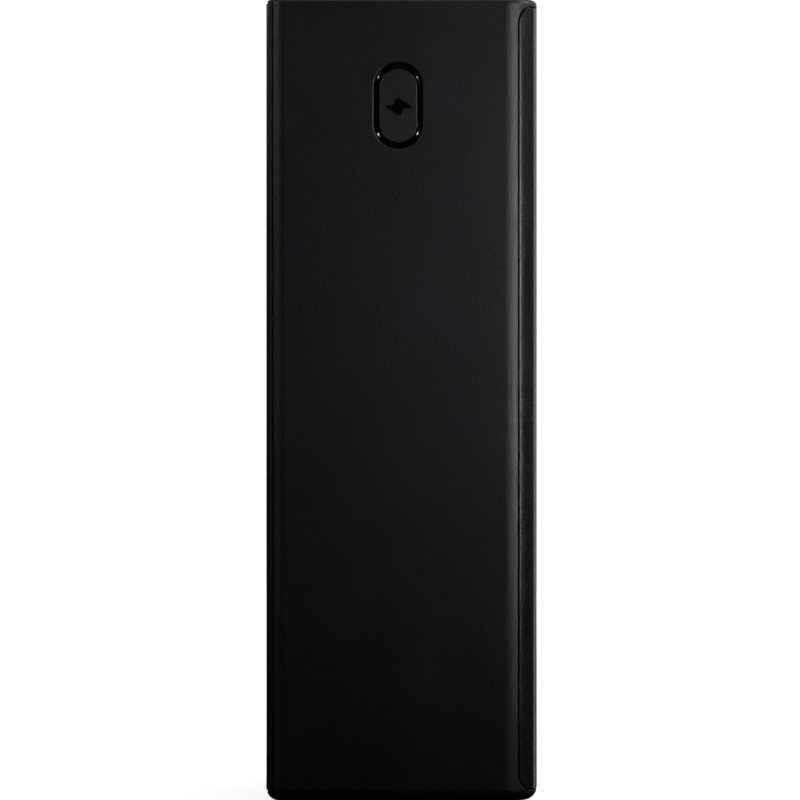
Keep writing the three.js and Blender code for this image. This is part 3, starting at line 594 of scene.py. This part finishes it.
def swept(name, outline, section, place, material, smooth, **settings):
    """A closed section swept round an outline. The section lists how far out and how deep.

    Facets that meet at less than smooth degrees are shaded as one surface.
    """
    bm = bmesh.new()
    rings = []
    for grow, depth in section:
        rings.append([bm.verts.new(place(u, v, depth)[0]) for u, v in outline(grow)])
    count = len(rings[0])
    for upper, lower in zip(rings, rings[1:] + rings[:1]):
        for i in range(count):
            j = (i + 1) % count
            bm.faces.new((upper[i], upper[j], lower[j], lower[i]))
    bmesh.ops.remove_doubles(bm, verts=bm.verts, dist=TINY)
    bmesh.ops.recalc_face_normals(bm, faces=bm.faces)
    mesh = bpy.data.meshes.new(name)
    bm.to_mesh(mesh)
    bm.free()
    mesh.shade_smooth()
    mesh.set_sharp_from_angle(angle=math.radians(smooth))
    settle(name, mesh, material, **settings)


def make_button_ring(material):
    """Ring in the groove round the cap, its face dished to a shallow V."""
    width, height = RING_HIGH.x - RING_LOW.x, RING_HIGH.z - RING_LOW.z
    half, deep = RING_WIDTH / 2, RING_HIGH.y - RING_LOW.y
    dished = half * math.tan(math.radians(RING_SLOPE))
    section = [(half, deep), (half, 0.0), (0.0, dished), (-half, 0.0), (-half, deep)]

    def outline(grow):
        wider = 2 * grow - RING_WIDTH
        return stadium(width + wider, height + wider, BUTTON_FACETS)

    def place(u, v, depth):
        return Vector((BUTTON.x + u, RING_LOW.y + depth, BUTTON.z + v)), None

    standing_for = {"replaces": ("button_bezel",), "slot": "ring"}
    swept("button_ring", outline, section, place, material, 10, **standing_for)


def bolt_outline(grow):
    """Generic lightning bolt, lying on its side, measured from the ring's middle.

    Half of its corners are listed, as shares of its half sizes. The rest are opposite them.
    """
    half_w, half_h = (BOLT_HIGH.x - BOLT_LOW.x) / 2, (BOLT_HIGH.z - BOLT_LOW.z) / 2
    half = [(1.0, -0.18), (1.0, -0.02), (0.03, 1.0), (-0.2, 0.95), (-0.34, 0.13)]
    corners = [(sign * x * half_w, sign * y * half_h) for sign in (1, -1) for x, y in half]
    away = outward(corners, list(range(len(corners))))
    grown = [(x + grow * d.x, y + grow * d.y) for (x, y), d in zip(corners, away)]
    shift = BOLT - BUTTON
    return [(x + shift.x, y + shift.z) for x, y in grown]


def make_power_button(material):
    """The cap's visible part, with a pocket for the bolt sign."""
    skin = Skin()
    width = BUTTON_HIGH.x - BUTTON_LOW.x - 2 * CAP_FLANGE
    height = BUTTON_HIGH.z - BUTTON_LOW.z - 2 * CAP_FLANGE
    outer = stadium(width - 2 * CAP_EDGE, height - 2 * CAP_EDGE, BUTTON_FACETS)
    pocket = bolt_outline(BOLT_CLEARANCE + BOLT_EDGE)
    skin.sheet(on_cap, outer, [(pocket, BOLT_EDGE)], thickness=CAP_DEPTH, edge=CAP_EDGE)
    skin.piece("power_button_cap", material, "button", ("power_button",), "button_cap")


def make_bolt(material):
    skin = Skin()
    thickness = BOLT_HIGH.y - BOLT_LOW.y
    skin.sheet(on_bolt, bolt_outline(-BOLT_EDGE), thickness=thickness, edge=BOLT_EDGE)
    skin.piece("bolt_sign", material, "button", ("bolt_icon",), "ring")


# ---------------------------------------------------------------- sockets and lights

SOCKET_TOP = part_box("usb_a_shell")[1].z


def on_socket(u, v, depth):
    return Vector((u, v, SOCKET_TOP - depth)), Vector((0, 0, 1))


def make_socket_shell(name, material):
    """Drawn tube with a rolled lip."""
    low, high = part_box(f"{name}_shell")
    wall, lip, deep = 0.32 * MM, 0.1 * MM, high.z - low.z
    halfway = 0.3 * lip  # where the lip's rounding has turned by half
    section = [(0, deep), (0, lip), (-halfway, halfway), (-lip, 0)]
    section += [(lip - wall, 0), (halfway - wall, halfway), (-wall, lip), (-wall, deep)]

    def outline(grow):
        return socket_outline(name, grow)

    standing_for = {"replaces": (f"{name}_shell",), "slot": "socket_steel"}
    swept(f"{name}_tube", outline, section, on_socket, material, 50, **standing_for)


def add_block(bm, low, high, bevel):
    """A box with its edges bevelled, added to a mesh under construction."""
    made = bmesh.ops.create_cube(bm, size=1.0)["verts"]
    for vert in made:
        vert.co = Vector([a + (b - a) * (c + 0.5) for a, b, c in zip(low, high, vert.co)])
    edges = list(dict.fromkeys(edge for vert in made for edge in vert.link_edges))
    bmesh.ops.bevel(bm, geom=edges, offset=bevel, segments=2, profile=0.5, affect="EDGES")


def blocks(name, boxes, bevel, material, **settings):
    """A piece made of bevelled boxes, each given by its low and high corners."""
    bm = bmesh.new()
    for low, high in boxes:
        add_block(bm, low, high, bevel)
    mesh = bpy.data.meshes.new(name)
    bm.to_mesh(mesh)
    bm.free()
    mesh.shade_smooth()
    mesh.set_sharp_from_angle(angle=math.radians(50))
    settle(name, mesh, material, **settings)


def make_tongue(name, material):
    """The socket's plastic tongue, standing on a floor that fills the shell."""
    low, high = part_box(f"{name}_tongue")
    shell_low, shell_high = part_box(f"{name}_shell")
    end, side = 0.75 * MM, 0.4 * MM  # from the shell's box to the floor's
    raised, overlap = 0.3 * MM, 0.2 * MM  # above the shell's foot, and into the tongue
    floor_low = (shell_low.x + end, shell_low.y + side, shell_low.z + raised)
    floor_high = (shell_high.x - end, shell_high.y - side, low.z + overlap)
    boxes = [(tuple(low), tuple(high)), (floor_low, floor_high)]
    standing_for = {"replaces": (f"{name}_tongue",), "slot": "socket_tongue"}
    blocks(f"{name}_insulator", boxes, 0.12 * MM, material, **standing_for)


def make_contacts(name, material, count, pitch, width, length, faces):
    """Gilded contacts let into a tongue, on one or both of its faces: -1 is the -Y face."""
    low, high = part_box(f"{name}_tongue")
    middle, top = (low.x + high.x) / 2, high.z - 0.5 * MM
    sink, proud = 0.05 * MM, 0.03 * MM
    across = {-1: (low.y - proud, low.y + sink), 1: (high.y - sink, high.y + proud)}
    boxes = []
    for i in range(count):
        x = middle + (i - (count - 1) / 2) * pitch
        for face in faces:
            y0, y1 = across[face]
            boxes.append(((x - width / 2, y0, top - length), (x + width / 2, y1, top)))
    blocks(f"{name}_contacts", boxes, 0.01 * MM, material, slot="nickel")


def make_light_pipe(index, material):
    """Frosted lens, its face level with the front panel."""
    low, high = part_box(f"light_pipe_{index}")
    middle = (low + high) / 2

    def place(u, v, depth):
        return Vector((high.x - depth, middle.y + u, middle.z + v)), Vector((1, 0, 0))

    skin = Skin()
    outer = circle(LENS_RADIUS - LENS_EDGE, 32)
    skin.sheet(place, outer, thickness=high.x - low.x, edge=LENS_EDGE)
    standing_for = {"replaces": (f"light_pipe_{index}",), "slot": "light_pipe"}
    skin.piece(f"light_lens_{index}", material, **standing_for)


# ---------------------------------------------------------------- materials


class Nodes:
    """Short hand for building a material's node tree. Positions are in metres on the object."""

    def __init__(self, name):
        self.material = bpy.data.materials.new(name)
        self.material.use_nodes = True
        self.tree = self.material.node_tree
        self.shader = self.tree.nodes["Principled BSDF"]
        self.place = self.add("ShaderNodeTexCoord").outputs["Object"]

    def add(self, kind, **settings):
        node = self.tree.nodes.new(kind)
        for key, value in settings.items():
            setattr(node, key, value)
        return node

    def put(self, value, socket):
        """Links another node's output to a socket, or sets the socket to a constant."""
        if isinstance(value, bpy.types.NodeSocket):
            self.tree.links.new(value, socket)
        else:
            socket.default_value = value

    def feed(self, node, **values):
        """Fills a node's inputs by name, with _ standing for a space."""
        for key, value in values.items():
            self.put(value, node.inputs[key.replace("_", " ")])
        return node

    def stretched(self, x, y, z):
        mapping = self.feed(self.add("ShaderNodeMapping"), Vector=self.place, Scale=(x, y, z))
        return mapping.outputs["Vector"]

    def noise(self, size, detail=2.0, place=None):
        """Noise whose blobs are about this many metres across."""
        node = self.add("ShaderNodeTexNoise")
        self.feed(node, Vector=place or self.place, Scale=1 / size, Detail=detail)
        return node.outputs["Fac"]

    def pits(self, size):
        """Cells about this many metres across, deepest in their middles."""
        node = self.add("ShaderNodeTexVoronoi")
        self.feed(node, Vector=self.place, Scale=1 / size)
        return node.outputs["Distance"]

    def remap(self, value, low, high, to_low=0.0, to_high=1.0):
        node = self.add("ShaderNodeMapRange")
        self.feed(node, Value=value, From_Min=low, From_Max=high, To_Min=to_low, To_Max=to_high)
        return node.outputs["Result"]

    def spread(self, noise, to_low=0.0, to_high=1.0):
        """Noise seldom leaves 0.3 to 0.7. This spreads it over the range that is wanted."""
        return self.remap(noise, 0.3, 0.7, to_low, to_high)

    def maths(self, operation, a, b):
        node = self.add("ShaderNodeMath", operation=operation)
        self.put(a, node.inputs[0])
        self.put(b, node.inputs[1])
        return node.outputs[0]

    def plus(self, a, b):
        return self.maths("ADD", a, b)

    def times(self, a, b):
        return self.maths("MULTIPLY", a, b)

    def blend(self, factor, a, b):
        """Mixes two colours, each another node's output or a constant red, green and blue."""
        node = self.add("ShaderNodeMix", data_type="RGBA")
        self.put(factor, node.inputs[0])
        for socket, color in zip(node.inputs[6:8], (a, b)):
            constant = not isinstance(color, bpy.types.NodeSocket)
            self.put((*color, 1.0) if constant else color, socket)
        return node.outputs[2]

    def bump(self, height, distance, normal=None):
        node = self.feed(self.add("ShaderNodeBump"), Height=height, Distance=distance)
        if normal:
            self.put(normal, node.inputs["Normal"])
        return node.outputs["Normal"]

    def exposed(self):
        """How much an edge's rounding is rubbed: patchy, and none away from the edges."""
        edge = self.add("ShaderNodeAttribute", attribute_name="wear").outputs["Fac"]
        patches = self.remap(self.noise(4 * MM, 3.0), 0.42, 0.62)
        return self.times(edge, patches)

    def finish(self, color, roughness, normal, **constants):
        """Fills the shader and hands over the material."""
        self.feed(self.shader, Base_Color=color, Roughness=roughness, Normal=normal, **constants)
        return self.material


def moulded(name, dark, light, rubbed, rough, grain, depth, smear=0.04, speckle=0.02):
    """Moulded plastic: fine grain, faint cloudiness, handling smears and rubbed edges.

    grain and depth are the texture's size and height. smear and speckle are how far the
    roughness strays from rough, over a hand's marks and over single grains.
    """
    n = Nodes(name)
    cloud = n.spread(n.noise(14 * MM, 3.0))
    spots = n.remap(n.noise(1.4 * grain, 1.0), 0.45, 0.75)
    mixed = n.blend(n.plus(n.times(cloud, 0.5), n.times(spots, 0.5)), dark, light)
    worn = n.exposed()
    marks = n.noise(9 * MM, 4.0, n.stretched(1.0, 1.0, 0.35))
    smears = n.remap(marks, 0.35, 0.65, -smear, smear)
    grains = n.noise(grain)
    uneven = n.plus(smears, n.spread(grains, -speckle, speckle))
    roughness = n.plus(n.plus(uneven, rough), n.times(worn, -0.1))
    normal = n.bump(n.pits(0.8 * grain), 0.5 * depth, n.bump(grains, depth))
    return n.finish(n.blend(worn, mixed, rubbed), roughness, normal)


def polished(name, dark, light, rough):
    """Piano-black plastic: hairlines, dust and slow waviness under a clear shine."""
    n = Nodes(name)
    color = n.blend(n.spread(n.noise(3 * MM, 3.0)), dark, light)
    hairs = n.noise(0.12 * MM, 3.0, n.stretched(1.0, 1.0, 0.06))
    roughness = n.spread(hairs, 0.6 * rough, 1.5 * rough)
    wavy = n.bump(n.noise(2.2 * MM, 1.0), 0.004 * MM)
    normal = n.bump(hairs, 0.0002 * MM, wavy)
    return n.finish(color, roughness, normal, Coat_Weight=0.6, Coat_Roughness=0.04)


def metal(name, dark, light, rough):
    """Drawn or rolled metal, with lines along the draw and faint tarnish."""
    n = Nodes(name)
    color = n.blend(n.remap(n.noise(2.5 * MM, 3.0), 0.35, 0.7), light, dark)
    lines = n.noise(0.08 * MM, 3.0, n.stretched(1.0, 1.0, 0.05))
    roughness = n.spread(lines, 0.75 * rough, 1.3 * rough)
    return n.finish(color, roughness, n.bump(lines, 0.001 * MM), Metallic=1.0)


def frosted(name, color, shade):
    """Frosted light pipe: milky, with a pitted face."""
    n = Nodes(name)
    tint = n.blend(n.noise(0.6 * MM), color, shade)
    roughness = n.spread(n.noise(0.2 * MM), 0.3, 0.5)
    normal = n.bump(n.noise(0.06 * MM), 0.004 * MM)
    return n.finish(tint, roughness, normal, Transmission_Weight=0.25, IOR=1.49)


def board(name):
    """Solder mask over copper tracks that run along the board."""
    n = Nodes(name)
    tracks = n.remap(n.noise(0.9 * MM, 0.0, n.stretched(1.0, 1.0, 0.15)), 0.5, 0.53)
    color = n.blend(tracks, (0.006, 0.045, 0.02), (0.012, 0.085, 0.035))
    roughness = n.spread(n.noise(0.3 * MM, 3.0), 0.3, 0.45)
    return n.finish(color, roughness, n.bump(tracks, 0.03 * MM))


def soft(name, dark, light, cell, depth):
    """Foam, silicone pad or fibre paper: matt, with open cells or fibres of one size."""
    n = Nodes(name)
    cells = n.pits(cell)
    color = n.blend(n.remap(cells, 0.1, 0.7), dark, light)
    roughness = n.spread(n.noise(3 * cell, 3.0), 0.78, 0.95)
    return n.finish(color, roughness, n.bump(cells, depth))


def plain_plastic(name, color, rough):
    """Inner moulding, film or wire sleeve of one colour, slightly uneven."""
    dark = tuple(0.75 * c for c in color)
    rubbed = tuple(min(1.0, 1.3 * c + 0.01) for c in color)
    return moulded(name, dark, color, rubbed, rough, 0.25 * MM, 0.008 * MM)


def outer_materials():
    """Materials that can be seen with the bar closed, by slot name.

    A moulded material's colours are its dark tone, its light tone and the tone where it's rubbed.
    """
    return {
        "housing": moulded(
            "housing_black", (0.0035, 0.0035, 0.008), (0.0105, 0.0105, 0.018), (0.02, 0.02, 0.024),
            rough=0.42, grain=0.34 * MM, depth=0.034 * MM, smear=0.02, speckle=0.05,
        ),
        "front_panel": moulded(
            "front_panel_black", (0.0085, 0.008, 0.0065), (0.013, 0.012, 0.0095), (0.02, 0.019, 0.015),
            rough=0.27, grain=0.16 * MM, depth=0.002 * MM, smear=0.012, speckle=0.01,
        ),
        "rear_panel": moulded(
            "rear_panel_black", (0.006, 0.008, 0.0085), (0.009, 0.012, 0.0125), (0.022, 0.026, 0.027),
            rough=0.42, grain=0.2 * MM, depth=0.01 * MM,
        ),
        "button_cap": moulded(
            "cap_black", (0.006, 0.006, 0.0085), (0.009, 0.009, 0.0125), (0.016, 0.016, 0.02),
            rough=0.5, grain=0.15 * MM, depth=0.01 * MM,
        ),
        "port_plate": moulded(
            "plate_black", (0.006, 0.006, 0.007), (0.01, 0.01, 0.011), (0.03, 0.03, 0.032),
            rough=0.38, grain=0.18 * MM, depth=0.008 * MM,
        ),
        "ring": polished("piano_black", (0.002, 0.002, 0.0025), (0.004, 0.004, 0.0045), 0.06),
        "light_pipe": frosted("frosted_lens", (0.62, 0.65, 0.67), (0.4, 0.43, 0.46)),
        "socket_steel": metal("socket_steel", (0.42, 0.42, 0.44), (0.62, 0.62, 0.64), 0.28),
        "socket_tongue": plain_plastic("tongue_black", (0.016, 0.016, 0.018), 0.45),
    }


def inner_materials():
    """Materials of what is inside the bar, by slot name."""
    paper_dark, paper_light = (0.5, 0.45, 0.33), (0.64, 0.58, 0.44)
    pad_dark, pad_light = (0.22, 0.29, 0.35), (0.3, 0.38, 0.44)
    return {
        "led": plain_plastic("led_white", (0.75, 0.74, 0.66), 0.4),
        "steel": metal("bright_steel", (0.4, 0.4, 0.41), (0.6, 0.6, 0.61), 0.3),
        "nickel": metal("nickel", (0.5, 0.48, 0.44), (0.68, 0.66, 0.6), 0.3),
        "aluminium": metal("aluminium", (0.5, 0.51, 0.52), (0.68, 0.69, 0.7), 0.4),
        "cell": plain_plastic("cell_wrap", (0.05, 0.15, 0.3), 0.35),
        "holder": plain_plastic("holder_grey", (0.05, 0.05, 0.052), 0.55),
        "board": board("solder_mask"),
        "chip": plain_plastic("chip_epoxy", (0.015, 0.015, 0.016), 0.55),
        "fibre_paper": soft("fibre_paper", paper_dark, paper_light, 0.2 * MM, 0.02 * MM),
        "foam": soft("foam", (0.008, 0.008, 0.008), (0.035, 0.035, 0.035), 0.4 * MM, 0.12 * MM),
        "thermal_pad": soft("thermal_pad", pad_dark, pad_light, 0.15 * MM, 0.01 * MM),
        "ribbon": plain_plastic("ribbon_film", (0.28, 0.12, 0.03), 0.3),
        "red_wire": plain_plastic("red_wire", (0.4, 0.012, 0.01), 0.45),
        "black_wire": plain_plastic("black_wire", (0.012, 0.012, 0.012), 0.45),
        "yellow_wire": plain_plastic("yellow_wire", (0.5, 0.34, 0.03), 0.45),
        "resin": polished("resin_bead", (0.012, 0.013, 0.016), (0.02, 0.022, 0.026), 0.2),
    }


def dress_nodes(materials):
    """Gives each CAD node the material of its slot in the record."""
    for part in frame["record"]["subparts"]:
        for material_slot in frame["nodes"][part["node"]].material_slots:
            material_slot.material = materials[part["material_slot"]]


# ---------------------------------------------------------------- stage

CAMERA_DISTANCE = 0.8  # from the button face, in metres
CAMERA_SIDE = -0.35 * MM  # from the middle of the button face
FRAME_WIDTH = 155.16 * MM  # what the frame takes in at the button face
SENSOR = 36.0  # its width, in the camera's own millimetres
WHITE = (1, 1, 1, 1)
BACKDROP = 1.05  # strength of the white that the camera sees
AMBIENT = 0.001  # strength of the light from all round
FLOOR_DROP = 0.05 * MM  # below the bar's base
FLOOR_REACH = 6.0  # metres each way


def make_camera():
    """Level camera that faces the button face at half the bar's height."""
    data = bpy.data.cameras.new("camera")
    data.sensor_width = SENSOR
    data.lens = SENSOR * CAMERA_DISTANCE / FRAME_WIDTH
    camera = bpy.data.objects.new("camera", data)
    camera.location = (CAMERA_SIDE, -HALF_DEPTH - CAMERA_DISTANCE, HEIGHT / 2)
    camera.rotation_euler = (QUARTER, 0, 0)
    bpy.context.scene.collection.objects.link(camera)
    bpy.context.scene.camera = camera


def softbox(name, azimuth, elevation, distance, width, height, power, aim=None, spread=180):
    """Area light aimed at a point, the bar's middle if none is given.

    Azimuth 0 is in front of the button face, 90 in front of the front panel. Angles are in
    degrees, lengths in metres and power in watts.
    """
    data = bpy.data.lights.new(name, "AREA")
    data.shape = "RECTANGLE"
    data.size, data.size_y = width, height
    data.energy = power
    data.spread = math.radians(spread)
    light = bpy.data.objects.new(name, data)
    target = aim or Vector((0, 0, HEIGHT / 2))
    turn, rise = math.radians(azimuth), math.radians(elevation)
    level = math.cos(rise)
    away = Vector((math.sin(turn) * level, -math.cos(turn) * level, math.sin(rise)))
    light.location = target + away * distance
    light.rotation_euler = away.to_track_quat("Z", "Y").to_euler()
    bpy.context.scene.collection.objects.link(light)


def make_lights():
    """Two gridded strips beside the button face, soft boxes round the rest, and one overhead.

    The numbers are azimuth, elevation, distance, width, height and power, as softbox takes them.
    """
    low_right = Vector((45 * MM, -HALF_DEPTH, 0.61 * HEIGHT))
    upper_right = Vector((30 * MM, -HALF_DEPTH, 0.865 * HEIGHT))
    left_corner = Vector((-HALF_WIDTH, -HALF_DEPTH, 0.83 * HEIGHT))
    left_side = Vector((-HALF_WIDTH, 0, 0.6 * HEIGHT))
    softbox("strip", 47, 3, 0.3, 0.02, 0.12, 0.0098, low_right, 22)
    softbox("key", 31, 0, 0.4, 0.05, 0.12, 0.0155, upper_right, 34)
    softbox("side", 90, 35, 0.7, 0.4, 0.4, 2.2)
    softbox("rim", 132, 4, 0.5, 0.05, 0.4, 0.16)
    softbox("back", 162, 14, 0.8, 0.5, 0.6, 0.8)
    softbox("far_side", -135, 28, 0.7, 0.4, 0.4, 0.3)
    softbox("fill", -65, 25, 0.35, 0.12, 0.12, 0.028, left_corner, 60)
    softbox("low_fill", -45, 5, 0.5, 0.1, 0.2, 0.05, left_side)
    softbox("overhead", 150, 82, 0.7, 0.5, 0.5, 1.7, Vector((0, 0, HEIGHT)))
    for rise in (14.8, -6.5):
        softbox("sparkle", 22.7, rise, 0.4, 0.012, 0.024, 0.03, BUTTON)


def floor_material():
    """White paper that glows, its glow turned down near the bar's foot as painted shade."""
    n = Nodes("floor_white")
    tone = n.blend(n.noise(0.3), (0.8, 0.8, 0.8), (0.83, 0.83, 0.83))
    around = n.add("ShaderNodeVectorMath", operation="LENGTH")
    n.put(n.place, around.inputs[0])
    near, far = 0.06, 0.25  # metres from the bar's middle
    # Painted shade: the floor glows less near the bar, so it greys round the bar's foot.
    glow_with_painted_shade = n.remap(around.outputs["Value"], near, far, 0.8, BACKDROP)
    n.feed(n.shader, Base_Color=tone, Roughness=0.9)
    n.feed(n.shader, Emission_Color=WHITE, Emission_Strength=glow_with_painted_shade)
    return n.material


def make_floor():
    """Plain white floor with a soft shadow at the bar's foot, cast by the lights and deepened by
    painted shade in the floor's glow. It doesn't shine on the bar.
    """
    mesh = bpy.data.meshes.new("floor")
    corners = [(FLOOR_REACH * x, FLOOR_REACH * y, 0) for x, y in ((-1, -1), (1, -1), (1, 1), (-1, 1))]
    mesh.from_pydata(corners, [], [(0, 1, 2, 3)])
    mesh.materials.append(floor_material())
    floor = bpy.data.objects.new("floor", mesh)
    floor.location.z = -FLOOR_DROP
    bpy.context.scene.collection.objects.link(floor)
    floor.visible_glossy = False
    floor.visible_diffuse = False


def make_world():
    """White behind the object for the camera, and dim for everything that it lights."""
    world = bpy.data.worlds.new("world")
    world.use_nodes = True
    bpy.context.scene.world = world
    tree = world.node_tree
    tree.nodes.clear()
    mix = tree.nodes.new("ShaderNodeMixShader")
    path = tree.nodes.new("ShaderNodeLightPath")
    tree.links.new(path.outputs["Is Camera Ray"], mix.inputs[0])
    for socket, strength in ((mix.inputs[1], AMBIENT), (mix.inputs[2], BACKDROP)):
        background = tree.nodes.new("ShaderNodeBackground")
        background.inputs["Strength"].default_value = strength
        background.inputs["Color"].default_value = WHITE
        tree.links.new(background.outputs[0], socket)
    out = tree.nodes.new("ShaderNodeOutputWorld")
    tree.links.new(mix.outputs[0], out.inputs["Surface"])
    bpy.context.scene.view_settings.view_transform = "Standard"


# ---------------------------------------------------------------- assembly

make_camera()
make_lights()
make_floor()
make_world()

MATERIALS = {**outer_materials(), **inner_materials()}
dress_nodes(MATERIALS)

make_housing(MATERIALS["housing"])
make_front_panel(MATERIALS["front_panel"])
make_rear_panel(MATERIALS["rear_panel"])
make_seam_backing(MATERIALS["housing"])
make_port_plate(MATERIALS["port_plate"])
make_button_ring(MATERIALS["ring"])
make_power_button(MATERIALS["button_cap"])
make_bolt(MATERIALS["ring"])

GOLD = metal("contact_gold", (0.6, 0.42, 0.15), (0.86, 0.64, 0.28), 0.25)
for socket_name in SOCKETS:
    make_socket_shell(socket_name, MATERIALS["socket_steel"])
    make_tongue(socket_name, MATERIALS["socket_tongue"])
for socket_name in USB_C:
    make_contacts(
        socket_name, GOLD, count=12, pitch=0.5 * MM, width=0.26 * MM, length=3.6 * MM, faces=(-1, 1),
    )
make_contacts("usb_a", GOLD, count=4, pitch=2.3 * MM, width=1.2 * MM, length=6.5 * MM, faces=(-1,))
for light_number in range(1, LIGHTS + 1):
    make_light_pipe(light_number, MATERIALS["light_pipe"])
